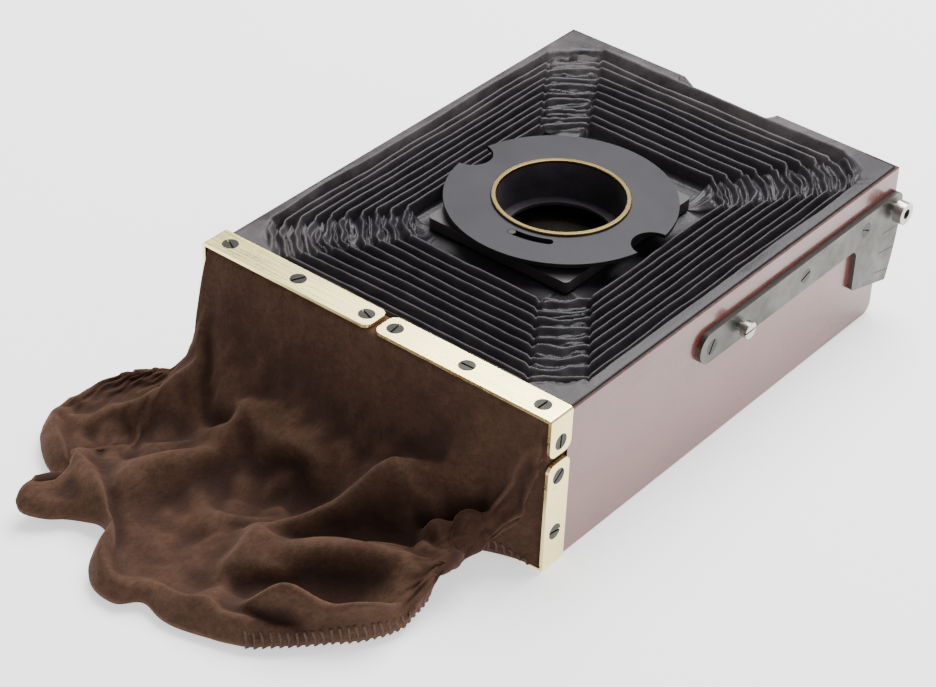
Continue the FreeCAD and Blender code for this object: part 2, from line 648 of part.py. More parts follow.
def bag():
    """Suede sack: a collar round the box's end and a low, hollow body lying beyond it."""
    top = HEIGHT + SUEDE_T
    collar = [(STRAP_Y1, STRAP_T), (STRAP_Y0, STRAP_T)]
    wires = [bag_wire(y, -HALF_W, HALF_W, [top] * 5, low) for y, low in collar]
    for reach, left_out, right_out, *heights in BAG_SECTIONS:
        wires.append(bag_wire(Y_MOUTH - reach, -HALF_W - left_out, HALF_W + right_out, heights, 0))
    outer = Part.makeLoft(wires, True, True)
    wood = block(-HALF_W + SUEDE_T, HALF_W - SUEDE_T, Y_MOUTH, STRAP_Y1 + 1, STRAP_T + SUEDE_T, HEIGHT)
    rooms = [rectangle(Y_MOUTH - reach, HALF_W - side, z0, z1) for reach, side, z0, z1 in BAG_HOLLOW]
    return cut(outer, [wood, Part.makeLoft(rooms, True, True)] + STRAP_HOLES)


# ---- side brackets ------------------------------------------------------------------------
def side_bracket():
    """Plate at +X: a bar with a round end, and a scale tab whose edge is an arc about the pivot."""
    x0, half = HALF_W, BAR_H / 2
    bar = block(x0, x0 + BRACKET_T, BAR_END_Y + half, TAB_EDGE_Y + half, BAR_Z - half, BAR_Z + half)
    end = rod(half, BRACKET_T, (x0, BAR_END_Y + half, BAR_Z), X_AXIS)
    slope = (TAB_CORNER_Z - TAB_LOW_Z) / (PIVOT_Y + SCALE_R - TAB_CORNER_IN - TAB_EDGE_Y)
    reach = PIVOT_Y + SCALE_R + TAB_SPARE
    tab = prism([(x0, TAB_EDGE_Y, BAR_Z + half), (x0, reach, BAR_Z + half),
                 (x0, reach, TAB_LOW_Z + slope * (reach - TAB_EDGE_Y)), (x0, TAB_EDGE_Y, TAB_LOW_Z)],
                V(BRACKET_T, 0, 0))
    tab = tab.common(rod(SCALE_R, BRACKET_T, (x0, PIVOT_Y, BAR_Z), X_AXIS))
    plate = fuse([bar, end, tab])
    inner, lower, outer = BRACKET_ROUNDS
    plate = rounded(plate, X_AXIS, inner,
                    lambda m: abs(m.y - TAB_EDGE_Y) < 0.1 and abs(m.z - BAR_Z + half) < 0.1)
    plate = rounded(plate, X_AXIS, lower,
                    lambda m: abs(m.y - TAB_EDGE_Y) < 0.1 and abs(m.z - TAB_LOW_Z) < 0.1)
    plate = rounded(plate, X_AXIS, outer, lambda m: m.y > END_STUD_Y and m.z > BAR_Z)
    return cut(plate, BRACKET_HOLES + STUD_ROOT_TOOLS)


def stud(neck, head, y):
    """Shouldered stud riveted through the bracket into the wood."""
    x = HALF_W + BRACKET_T
    parts = [rod(neck[0], STUD_ROOT + BRACKET_T + neck[1], (x - STUD_ROOT - BRACKET_T, y, BAR_Z), X_AXIS),
             rod(head[0], head[1], (x + neck[1], y, BAR_Z), X_AXIS)]
    return fuse(parts)


def pivot_stud():
    whole = stud(PIVOT_NECK, PIVOT_HEAD, PIVOT_Y)
    x = HALF_W + BRACKET_T + PIVOT_NECK[1] + PIVOT_HEAD[1]
    slot = block(x - 2 * DRIVE_D, x + 1, PIVOT_Y - PIVOT_HEAD[0] - 1, PIVOT_Y + PIVOT_HEAD[0] + 1,
                 BAR_Z - DRIVE_W / 2, BAR_Z + DRIVE_W / 2)
    return whole.cut(slot)


def end_stud():
    whole = stud(END_NECK, END_HEAD, END_STUD_Y)
    x = HALF_W + BRACKET_T + END_NECK[1] + END_HEAD[1]
    return whole.cut(rod(SOCKET_R, SOCKET_DEPTH, (x - SOCKET_DEPTH, END_STUD_Y, BAR_Z), X_AXIS))


# ---- everything, one file for each node ---------------------------------------------------
def build():
    os.makedirs("parts", exist_ok=True)
    wood_holes = STRAP_HOLES + BRACKET_HOLES + STUD_ROOT_TOOLS
    board = side_board()
    leaf_edge = PIN_X - KNUCKLE_R - LEAF_EDGE
    pockets = [hinge_pocket(y, leaf_edge - FIT, -HALF_IN + 1, PIN_Z + KNUCKLE_R + FIT) for y in HINGE_YS]
    save("side_board_right", cut(board, wood_holes))
    save("side_board_left", cut(mirror_x(board), wood_holes + pockets))
    save("far_end_board", far_end_board())
    save("far_end_block", far_end_block())
    save("slide_trap", slide_trap())
    save("buffer_block", buffer_block())
    save("mouth_rail_front", cut(mouth_rail_front(), STRAP_HOLES))
    save("mouth_rail_back", cut(mouth_rail_back(), STRAP_HOLES))
    save("focal_frame", focal_frame())
    save("slide_guide", slide_guide())
    save("bellows_frame", bellows_frame())
    save("dark_slide", dark_slide())

    heights = stack_heights()
    save("plate_sheaths", Part.makeCompound([sheath(z) for z in heights]))
    save("glass_plates", Part.makeCompound([glass_plate(z) for z in heights]))
    save("front_sheath", sheath(Z_FRONT_SHEATH))
    save("front_glass", glass_plate(Z_FRONT_SHEATH))
    save("pressure_plate", pressure_plate())
    save("pressure_springs", Part.makeCompound([leaf_spring(s * SPRING_X) for s in (-1, 1)]))

    save("back_door", back_door())
    box_leaves = [hinge_leaf(y, leaf_edge, True) for y in HINGE_YS]
    door_leaves = [hinge_leaf(y, PIN_X + LEAF_W, False) for y in HINGE_YS]
    save("hinge_leaves_box", Part.makeCompound(box_leaves))
    save("hinge_leaves_door", Part.makeCompound(door_leaves))
    save("hinge_pins", Part.makeCompound([rod(HINGE_PIN_R, HINGE_L, (PIN_X, y - HINGE_L / 2, PIN_Z), Y_AXIS)
                                          for y in HINGE_YS]))

    save("bellows", bellows())
    save("front_board", front_board())
    save("flange_base", flange_base())
    save("stop_pin", stop_pin())
    save("lock_ring", lock_ring())
    save("lens_sleeve", lens_sleeve())
    save("brass_rim", brass_rim())
    save("light_baffle", light_baffle())

    save("suede_bag", bag())
    for place, shape in (("front", strap(True)), ("back", strap(False))):
        save("strap_%s_right" % place, shape)
        save("strap_%s_left" % place, mirror_x(shape))
    save("strap_screws", turned_screws(STRAP_SCREWS, 20))

    bracket = side_bracket()
    save("bracket_right", bracket)
    save("bracket_left", mirror_x(bracket))
    for name, shape in (("pivot_stud", pivot_stud()), ("end_stud", end_stud())):
        save(name + "_right", shape)
        save(name + "_left", mirror_x(shape))
    save("bracket_screws", turned_screws(BRACKET_SCREWS, 65))
    print("height %.2f  length %.2f  half width %.2f" % (HEIGHT, LENGTH, HALF_W))


build()
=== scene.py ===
"""Looks of a collapsible plate camera with a suede changing bag, built round its CAD frame.

Metres, in the CAD frame: +Z out through the lens, -Y towards the bag, +X the scale's side.
"""
import math
import random

import bpy
import numpy as np
from mathutils import Matrix, Vector, noise


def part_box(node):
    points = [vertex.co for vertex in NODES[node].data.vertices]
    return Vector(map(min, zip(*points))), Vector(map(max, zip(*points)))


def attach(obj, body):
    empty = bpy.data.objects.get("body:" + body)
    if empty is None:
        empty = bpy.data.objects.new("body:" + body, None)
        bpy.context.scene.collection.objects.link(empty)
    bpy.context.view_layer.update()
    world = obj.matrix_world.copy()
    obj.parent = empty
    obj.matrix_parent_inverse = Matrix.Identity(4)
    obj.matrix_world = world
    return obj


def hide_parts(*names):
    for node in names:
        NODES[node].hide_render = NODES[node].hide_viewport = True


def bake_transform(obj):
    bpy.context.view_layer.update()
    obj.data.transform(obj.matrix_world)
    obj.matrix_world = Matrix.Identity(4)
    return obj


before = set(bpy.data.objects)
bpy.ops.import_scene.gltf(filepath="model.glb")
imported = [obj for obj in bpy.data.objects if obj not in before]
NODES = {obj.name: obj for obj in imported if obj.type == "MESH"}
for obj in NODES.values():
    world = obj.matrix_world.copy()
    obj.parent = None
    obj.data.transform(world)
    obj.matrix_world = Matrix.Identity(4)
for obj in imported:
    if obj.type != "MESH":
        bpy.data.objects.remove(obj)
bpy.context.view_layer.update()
MM = 0.001

# ---- places read from the frame ----
BOARD_LOW, BOARD_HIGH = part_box("side_board_right")
HALF_W = BOARD_HIGH.x
Y_MOUTH, Y_FAR = BOARD_LOW.y, BOARD_HIGH.y
HEIGHT = BOARD_HIGH.z
BELLOWS_LOW, BELLOWS_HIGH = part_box("bellows")
FRONT_LOW, FRONT_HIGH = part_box("front_board")
STRAP_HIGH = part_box("strap_front_right")[1]


# ---- camera, light and floor ----
CAMERA_TARGET = Vector((-25.5, -24.2, 0)) * MM
CAMERA_AZIMUTH, CAMERA_ELEVATION, CAMERA_ROLL = 38.54, 35.90, 2.10
CAMERA_DISTANCE = 0.8057
CAMERA_LENS = 105.65
CAMERA_SHIFT = (0.035, 0.001)


def make_camera():
    azimuth, elevation = math.radians(CAMERA_AZIMUTH), math.radians(CAMERA_ELEVATION)
    back = Vector((math.sin(azimuth) * math.cos(elevation),
                   -math.cos(azimuth) * math.cos(elevation), math.sin(elevation)))
    camera = bpy.data.objects.new("camera", bpy.data.cameras.new("camera"))
    bpy.context.scene.collection.objects.link(camera)
    camera.location = CAMERA_TARGET + back * CAMERA_DISTANCE
    turn = (-back).to_track_quat("-Z", "Y").to_matrix() @ Matrix.Rotation(math.radians(CAMERA_ROLL), 3, "Z")
    camera.rotation_euler = turn.to_euler()
    camera.data.lens = CAMERA_LENS
    camera.data.sensor_width = 36.0
    camera.data.shift_x, camera.data.shift_y = CAMERA_SHIFT
    camera.data.clip_start, camera.data.clip_end = 0.01, 20.0
    bpy.context.scene.camera = camera


make_camera()


# ---- node material helpers ----
class Paint:
    """One node material round a Principled shader."""

    def __init__(self, name, roughness=0.5, metallic=0.0, color=(0.5, 0.5, 0.5)):
        self.material = bpy.data.materials.new(name)
        self.material.use_nodes = True
        self.tree = self.material.node_tree
        self.shader = self.tree.nodes["Principled BSDF"]
        self.set("Base Color", color)
        self.set("Roughness", roughness)
        self.set("Metallic", metallic)
        self.height = None
        self.coords = self.tree.nodes.new("ShaderNodeTexCoord").outputs["Object"]

    def set(self, socket, value):
        target = self.shader.inputs[socket]
        if isinstance(value, bpy.types.NodeSocket):
            self.tree.links.new(value, target)
        elif hasattr(value, "__len__"):
            target.default_value = (*value, 1.0) if len(value) == 3 else value
        else:
            target.default_value = value
        return self

    def node(self, kind, inputs, output=0, **settings):
        made = self.tree.nodes.new(kind)
        for key, value in settings.items():
            setattr(made, key, value)
        for key, value in inputs.items():
            target = made.inputs[key]
            if isinstance(value, bpy.types.NodeSocket):
                self.tree.links.new(value, target)
            elif hasattr(value, "__len__") and len(value) == 3 and target.type == "RGBA":
                target.default_value = (*value, 1.0)
            else:
                target.default_value = value
        return made.outputs[output]

    def stretched(self, scale):
        """Object coordinates multiplied by scale along each axis."""
        return self.node("ShaderNodeMapping", {"Vector": self.coords, "Scale": scale})

    def noise(self, scale, detail=4.0, roughness=0.55, where=None, distortion=0.0):
        return self.node("ShaderNodeTexNoise", {
            "Vector": where or self.coords, "Scale": scale, "Detail": detail,
            "Roughness": roughness, "Distortion": distortion})

    def cells(self, scale):
        return self.node("ShaderNodeTexVoronoi", {"Vector": self.coords, "Scale": scale})

    def remap(self, value, low, high, to_low=0.0, to_high=1.0):
        return self.node("ShaderNodeMapRange", {
            "Value": value, "From Min": low, "From Max": high, "To Min": to_low, "To Max": to_high})

    def math(self, operation, a, b=0.0):
        return self.node("ShaderNodeMath", {0: a, 1: b}, operation=operation)

    def times(self, a, b):
        return self.math("MULTIPLY", a, b)

    def mix(self, factor, a, b):
        made = self.tree.nodes.new("ShaderNodeMix")
        made.data_type = "RGBA"
        for index, value in ((0, factor), (6, a), (7, b)):
            target = made.inputs[index]
            if isinstance(value, bpy.types.NodeSocket):
                self.tree.links.new(value, target)
            else:
                target.default_value = (*value, 1.0) if hasattr(value, "__len__") else value
        return made.outputs[2]

    def axis(self, name):
        return self.node("ShaderNodeSeparateXYZ", {"Vector": self.coords}, "XYZ".index(name))

    def attribute(self, name):
        return self.node("ShaderNodeAttribute", {}, 2, attribute_name=name)

    def bump(self, height, depth, strength=1.0):
        """Adds relief: height runs 0 to 1 and stands for depth metres."""
        inputs = {"Height": height, "Distance": depth, "Strength": strength}
        if self.height is not None:
            inputs["Normal"] = self.height
        self.height = self.node("ShaderNodeBump", inputs)
        return self.set("Normal", self.height)


def mahogany(name, grain_axis="Y", blacken_above=None):
    """French-polished mahogany: long grain, dark pores, a clear coat; black front edges if asked."""
    paint = Paint(name, roughness=0.34)
    along = {"X": (0.05, 1, 1), "Y": (1, 0.05, 1), "Z": (1, 1, 0.05)}[grain_axis]
    grain = paint.noise(210, 7, 0.62, paint.stretched(along), 0.6)
    figure = paint.noise(28, 3, 0.5, paint.stretched(tuple(0.3 + 0.7 * a for a in along)), 1.2)
    pores = paint.remap(paint.noise(1500, 2, 0.5, paint.stretched(along)), 0.62, 0.74)
    color = paint.mix(paint.remap(grain, 0.3, 0.72), (0.050, 0.005, 0.005), (0.115, 0.018, 0.012))
    figured = paint.times(paint.remap(figure, 0.35, 0.7), 0.55)
    color = paint.mix(figured, color, (0.15, 0.030, 0.019))
    color = paint.mix(paint.times(pores, 0.45), color, (0.05, 0.008, 0.005))
    polish = paint.remap(paint.noise(60, 4), 0.3, 0.7, 0.18, 0.32)
    if blacken_above is not None:
        wear = paint.noise(420, 5, 0.7)
        across = paint.math("ABSOLUTE", paint.axis("X"))
        outer = paint.remap(across, HALF_W - 0.9 * MM, HALF_W - 0.1 * MM)
        worn = paint.remap(paint.math("ADD", paint.times(outer, 0.32), wear), 0.72, 0.84)
        top = paint.remap(paint.axis("Z"), blacken_above - 0.32 * MM, blacken_above - 0.12 * MM)
        black = paint.mix(paint.remap(paint.noise(900, 3), 0.4, 0.7),
                          (0.006, 0.005, 0.006), (0.020, 0.017, 0.018))
        color = paint.mix(paint.times(top, paint.math("SUBTRACT", 1.0, worn)), color, black)
        inside = paint.remap(across, HALF_W - 0.8 * MM, HALF_W - 0.6 * MM, 1.0, 0.0)
        lining = paint.times(inside, paint.remap(paint.axis("Z"), 0.6 * MM, 1.0 * MM))
        color = paint.mix(lining, color, black)
        dull = paint.math("MAXIMUM", top, lining)
        paint.set("Coat Weight", paint.remap(dull, 0.0, 1.0, 0.4, 0.0))
        paint.set("Roughness", paint.math("MAXIMUM", polish, paint.times(dull, 0.82)))
    else:
        paint.set("Roughness", polish)
        paint.set("Coat Weight", 0.4)
    paint.set("Base Color", color)
    paint.set("IOR", 1.75)
    paint.set("Specular Tint", (1.0, 0.74, 0.70))
    paint.set("Coat Roughness", 0.09)
    paint.bump(grain, 0.00006, 0.35)
    return paint.bump(paint.noise(26, 3), 0.0012, 0.05).material


def ebony(name):
    """Black stained wood, brown where it is rubbed."""
    paint = Paint(name)
    streak = paint.noise(240, 6, 0.6, paint.stretched((0.06, 1, 1)))
    rubbed_and_painted_light = paint.remap(paint.noise(75, 6, 0.7), 0.56, 0.78)
    color = paint.mix(streak, (0.010, 0.008, 0.009), (0.040, 0.034, 0.034))
    color = paint.mix(paint.times(rubbed_and_painted_light, 0.6), color, (0.085, 0.055, 0.045))
    paint.set("Base Color", color)
    paint.set("Roughness", paint.remap(rubbed_and_painted_light, 0.0, 1.0, 0.36, 0.55))
    return paint.bump(streak, 0.00008, 0.5).material


def brass(name, color, dark, roughness):
    """Lacquered brass: faint brush lines, spots where the lacquer has gone, soft tarnish."""
    paint = Paint(name, roughness, 1.0)
    cloud = paint.remap(paint.noise(48, 6, 0.65), 0.35, 0.75)
    spots = paint.remap(paint.noise(620, 3, 0.6), 0.66, 0.75)
    scratches = paint.noise(300, 4, 0.7, paint.stretched((0.12, 5.0, 1.0)))
    base = paint.mix(paint.times(cloud, 0.45), color, dark)
    spotted = tuple(0.35 * c for c in dark)
    paint.set("Base Color", paint.mix(paint.times(spots, 0.75), base, spotted))
    paint.set("Roughness", paint.remap(scratches, 0.3, 0.7, roughness - 0.07, roughness + 0.10))
    return paint.bump(scratches, 0.00003, 0.5).bump(spots, 0.00004, 0.4).material


def steel(name, color, dark, roughness, spots=0.35, brush=(0.1, 0.1, 4.0)):
    """Old plated steel: brushed, clouded, with dark rust specks."""
    paint = Paint(name, roughness, 1.0)
    cloud = paint.remap(paint.noise(70, 6, 0.7), 0.35, 0.7)
    speck = paint.remap(paint.noise(900, 4, 0.65), 0.62, 0.72)
    brushed = paint.noise(420, 3, 0.7, paint.stretched(brush))
    base = paint.mix(cloud, color, dark)
    paint.set("Base Color", paint.mix(paint.times(speck, spots), base, (0.06, 0.035, 0.02)))
    paint.set("Roughness", paint.remap(cloud, 0.0, 1.0, roughness, roughness + 0.14))
    return paint.bump(brushed, 0.00003, 0.45).material


def black_metal(name, color, roughness):
    """Blackened brass, satin, slightly clouded with handling."""
    paint = Paint(name, roughness, 0.75)
    cloud = paint.noise(60, 6, 0.7)
    fine = paint.noise(1500, 3, 0.6)
    paint.set("Base Color", paint.mix(paint.remap(cloud, 0.35, 0.7), color, tuple(1.7 * c for c in color)))
    paint.set("Roughness", paint.remap(cloud, 0.3, 0.7, roughness - 0.06, roughness + 0.12))
    return paint.bump(fine, 0.00003, 0.5).material


def worn_and_highlight_edge(name, color):
    """Bare metal where a finish is rubbed off an edge, bright enough to be a painted highlight along it too.
    """
    paint = Paint(name, 0.3, 1.0)
    fine = paint.noise(900, 4, 0.6)
    paint.set("Base Color", paint.mix(paint.remap(fine, 0.35, 0.65), color, tuple(0.7 * c for c in color)))
    paint.set("Roughness", paint.remap(fine, 0.3, 0.7, 0.22, 0.42))
    return paint.material


def bellows_leather(name):
    """Thin glazed leather: fine grain; painted grey highlights along the ridge crests, patchy like rubbed
    wear; greyer towards the rim with dust, by an amount set for each side as painted light.
    """
    paint = Paint(name)
    ridge = paint.attribute("ridge")
    dust_and_side_light = paint.attribute("dust_and_side_light")
    patch = paint.noise(160, 6, 0.7)
    # painted highlight: grey along the ridge crests, patchy like rubbed wear
    rubbed_and_painted_light = paint.times(ridge, paint.remap(patch, 0.35, 0.65, 0.15, 1.0))
    # dust towards the rim with painted light: a greyer wash weighted by side
    dusty_and_side_lit = paint.times(dust_and_side_light, paint.remap(paint.noise(55, 7, 0.7), 0.35, 0.65))
    color = paint.mix(paint.remap(patch, 0.3, 0.7), (0.008, 0.0065, 0.009), (0.022, 0.018, 0.023))
    color = paint.mix(paint.times(dusty_and_side_lit, 0.60), color, (0.15, 0.13, 0.13))
    color = paint.mix(paint.times(rubbed_and_painted_light, 0.46), color, (0.120, 0.100, 0.112))
    paint.set("Base Color", color)
    paint.set("Roughness", paint.remap(paint.math("MAXIMUM", dusty_and_side_lit, rubbed_and_painted_light), 0.0, 1.0, 0.42, 0.70))
    paint.set("Specular IOR Level", 0.30)
    grain = paint.cells(1900)
    return paint.bump(grain, 0.00007, 0.45).bump(patch, 0.0003, 0.35).material


def velvet(name):
    paint = Paint(name, 0.95, 0.0, (0.012, 0.011, 0.012))
    paint.set("Sheen Weight", 0.6)
    return paint.bump(paint.noise(3500, 2), 0.0003, 0.6).material


def vulcanite(name):
    paint = Paint(name, 0.3)
    cloud = paint.noise(40, 5, 0.6)
    paint.set("Base Color", paint.mix(cloud, (0.010, 0.009, 0.008), (0.030, 0.024, 0.018)))
    paint.set("Roughness", paint.remap(cloud, 0.3, 0.7, 0.2, 0.42))
    return paint.bump(paint.noise(600, 4), 0.00003, 0.4).material


def emulsion_glass(name):
    """Glass plate seen on its coated side."""
    paint = Paint(name, 0.2)
    cloud = paint.noise(30, 5, 0.6)
    paint.set("Base Color", paint.mix(cloud, (0.42, 0.40, 0.33), (0.52, 0.50, 0.43)))
    paint.set("Coat Weight", 0.5)
    return paint.material


# ---- materials on the CAD nodes ----
def finish_node(name, material, bevel=0.0, edge_material=None):
    """Gives a CAD node its material, and slightly rounded edges that may show bare metal, which also serves
    as a painted highlight.
    """
    obj = NODES[name]
    obj.data.materials.clear()
    obj.data.materials.append(material)
    if bevel:
        modifier = obj.modifiers.new("edges", "BEVEL")
        modifier.width = bevel
        modifier.segments = 2
        modifier.limit_method = "ANGLE"
        modifier.angle_limit = math.radians(32)
        modifier.use_clamp_overlap = True
        if edge_material:
            obj.data.materials.append(edge_material)
            modifier.material = 1


def dress_cad():
    side = mahogany("mahogany_side", "Y", HEIGHT)
    cross = mahogany("mahogany_cross", "X")
    black = ebony("ebonised_wood")
    strap = brass("strap_brass", (1.0, 0.86, 0.40), (0.80, 0.63, 0.24), 0.26)
    # edge materials: bare worn metal that also paints the edges' highlights
    strap_edge = worn_and_highlight_edge("strap_edge", (0.90, 0.84, 0.62))
    plate = steel("bracket_steel", (0.125, 0.120, 0.110), (0.070, 0.067, 0.061), 0.38)
    plate_edge = worn_and_highlight_edge("bracket_edge", (0.62, 0.61, 0.56))
    screw = steel("screw_steel", (0.052, 0.051, 0.045), (0.022, 0.021, 0.020), 0.34, 0.5, (1, 1, 1))
    stud = steel("stud_steel", (0.62, 0.60, 0.56), (0.30, 0.29, 0.27), 0.22, 0.3, (1, 1, 1))
    ring = black_metal("ring_black", (0.022, 0.021, 0.024), 0.44)
    ring_edge = worn_and_highlight_edge("ring_edge", (0.72, 0.71, 0.68))
    inner = black_metal("sleeve_black", (0.055, 0.050, 0.057), 0.5)
    rim = brass("rim_brass", (0.20, 0.145, 0.055), (0.09, 0.065, 0.03), 0.3)
    tin = black_metal("sheath_black", (0.03, 0.03, 0.03), 0.45)
    pins = steel("pin_steel", (0.5, 0.5, 0.5), (0.25, 0.25, 0.25), 0.3)
    glass = emulsion_glass("emulsion_glass")
    wood_bevel = 0.35 * MM
    for place in ("front", "back"):
        for side_name in ("left", "right"):
            finish_node("strap_%s_%s" % (place, side_name), strap, 0.18 * MM, strap_edge)
    for side_name in ("left", "right"):
        finish_node("bracket_" + side_name, plate, 0.15 * MM, plate_edge)
        finish_node("pivot_stud_" + side_name, stud, 0.2 * MM)
        finish_node("end_stud_" + side_name, stud, 0.25 * MM)
    for names, *finish in (
            (("side_board_right", "side_board_left"), side, wood_bevel),
            (("far_end_board", "mouth_rail_front", "mouth_rail_back", "buffer_block"), cross, wood_bevel),
            (("back_door",), mahogany("mahogany_door", "Y"), wood_bevel),
            (("far_end_block", "focal_frame", "slide_guide", "bellows_frame", "front_board"),
             black, wood_bevel),
            (("strap_screws", "bracket_screws"), screw, 0.08 * MM),
            (("lock_ring",), ring, 0.16 * MM, ring_edge),
            (("flange_base",), ring, 0.12 * MM),
            (("stop_pin",), screw, 0.15 * MM),
            (("lens_sleeve",), inner),
            (("light_baffle",), inner, 0.12 * MM, ring_edge),
            (("brass_rim",), rim),
            (("dark_slide",), vulcanite("vulcanite"), 0.15 * MM),
            (("slide_trap",), velvet("velvet")),
            (("plate_sheaths", "front_sheath", "pressure_plate"), tin),
            (("glass_plates", "front_glass"), glass),
            (("hinge_leaves_box", "hinge_leaves_door"), strap, 0.1 * MM),
            (("hinge_pins", "pressure_springs"), pins)):
        for name in names:
            finish_node(name, *finish)
    for obj in NODES.values():
        for polygon in obj.data.polygons:
            polygon.use_smooth = False


dress_cad()


# ---- mesh helpers ----
def mesh_object(name, points, faces, material, smooth=True):
    mesh = bpy.data.meshes.new(name)
    mesh.from_pydata([tuple(p) for p in points], [], faces)
    mesh.update()
    mesh.materials.append(material)
    obj = bpy.data.objects.new(name, mesh)
    bpy.context.scene.collection.objects.link(obj)
    for polygon in mesh.polygons:
        polygon.use_smooth = smooth
    return obj


def point_attribute(obj, name, values):
    attribute = obj.data.attributes.new(name, "FLOAT", "POINT")
    attribute.data.foreach_set("value", np.asarray(values, np.float32))


def apply_modifiers(obj):
    graph = bpy.context.evaluated_depsgraph_get()
    obj.data = bpy.data.meshes.new_from_object(obj.evaluated_get(graph))
    obj.modifiers.clear()


def square(name, half, z, material):
    """Level square about the origin, to stand things on."""
    corners = [(-half, -half, z), (half, -half, z), (half, half, z), (-half, half, z)]
    return mesh_object(name, corners, [(0, 1, 2, 3)], material, False)


def smoothstep(t):
    t = np.clip(t, 0, 1)
    return t * t * (3 - 2 * t)


# ---- bellows ----
PLEATS = 10
PLEAT_STEPS = 12
SIDE_STEPS = {"x": 60, "y": 84}
CORNER_STEPS = 22
FOLD_LEG = 12.0 * MM
PLEAT_DEPTH = 4.4 * MM
LEATHER = 0.5 * MM
BARE_EDGE = 0.8 * MM          # wood left bare outside the leather's skirt
NOTCH_HALF, NOTCH_DEPTH = 17.5 * MM, 4.5 * MM
SKIRT_Z = HEIGHT + LEATHER + 0.06 * MM
# greyer outer pleats: dust towards the rim, weighted on each side as painted light for how bright that side
# looks
DUST_AND_LIGHT_BY_SIDE = (0.45, 0.25, 1.0, 0.75)      # near, right, far, left
EDGE_ROWS = 8                 # rows in the skirt, and in the lap behind the front board
RIDGE_RISE = 0.3 * MM         # of the ridges above the box
SKIRT_LIFT = 1.1 * MM         # of the first pleat, over the skirt
RIDGE_UNEVEN = (-0.45, 0.35)  # millimetres
CORNER_UNEVEN = 0.10          # of a pleat
CORNER_BOW = (-0.22, 0.34)    # of a pleat
FRONT_LAP = 1.2 * MM          # leather behind the front board
DIAGONAL = 1.414


def wobble(x, y, seed, size):
    """Smooth irregularity from -1 to 1 that changes over about size metres."""
    return noise.noise(Vector((x / size, y / size, seed)))


def pleat(phase, radius=0.09):
    """Height, 0 to 1, of a creased ridge at phase 0.5 between two valleys."""
    peak = math.sqrt(1 + radius * radius)
    return (peak - math.hypot(2 * (phase % 1.0) - 1, radius)) / (peak - radius)


def around_rectangle():
    """Places round the bellows: side, share along it, and corner weight across the folded corner."""
    places = []
    for side, kind in ((0, "x"), (1, "y"), (2, "x"), (3, "y")):
        count = SIDE_STEPS[kind]
        for i in range(count):
            places.append(("side", side, (i + 0.5) / count))
        for i in range(CORNER_STEPS):
            places.append(("corner", side, (i + 0.5) / CORNER_STEPS))
    return places


def outline_point(place, half_x, near_y, far_y, leg, bulge):
    """Point on a rectangle with folded corners; side 0 is near, 1 right, 2 far, 3 left."""
    kind, side, share = place
    corners = [(-half_x, near_y), (half_x, near_y), (half_x, far_y), (-half_x, far_y)]
    (ax, ay), (bx, by) = corners[side], corners[(side + 1) % 4]
    cx, cy = corners[(side + 2) % 4]
    ux, uy = np.sign(bx - ax), np.sign(by - ay)
    vx, vy = np.sign(cx - bx), np.sign(cy - by)
    if kind == "side":
        length = abs(bx - ax) + abs(by - ay) - 2 * leg
        return ax + ux * (leg + share * length), ay + uy * (leg + share * length)
    start = (bx - ux * leg, by - uy * leg)
    end = (bx + vx * leg, by + vy * leg)
    out = bulge * math.sin(math.pi * share)
    return (start[0] + (end[0] - start[0]) * share + out * (ux - vx) * 0.7,
            start[1] + (end[1] - start[1]) * share + out * (uy - vy) * 0.7)


def skirt_point(place):
    """Edge of the leather on the front of the box: a full rectangle that steps round the finger notch."""
    kind, side, share = place
    size = (HALF_W - BARE_EDGE, STRAP_HIGH.y + 0.5 * MM, Y_FAR - BARE_EDGE, FOLD_LEG, 0.0)
    x, y = outline_point(place, *size)
    if kind == "corner":
        start, end = (outline_point((kind, side, s), *size) for s in (0.0, 1.0))
        turn = (end[0], start[1]) if side % 2 == 0 else (start[0], end[1])
        before, after = (start, turn) if share < 0.5 else (turn, end)
        t = 2 * share if share < 0.5 else 2 * share - 1
        x, y = before[0] + (after[0] - before[0]) * t, before[1] + (after[1] - before[1]) * t
    if abs(x) < NOTCH_HALF:
        y = min(y, Y_FAR - NOTCH_DEPTH)
    return x, y


def crease(place, leg):
    """Distance in metres from the nearest corner crease, and how far inside the corner it is, 0 to 1."""
    kind, side, share = place
    if kind == "corner":
        distance = min(share, 1 - share) * leg * DIAGONAL
        return distance, float(smoothstep(distance / (1.6 * MM)))
    return None, 0.0


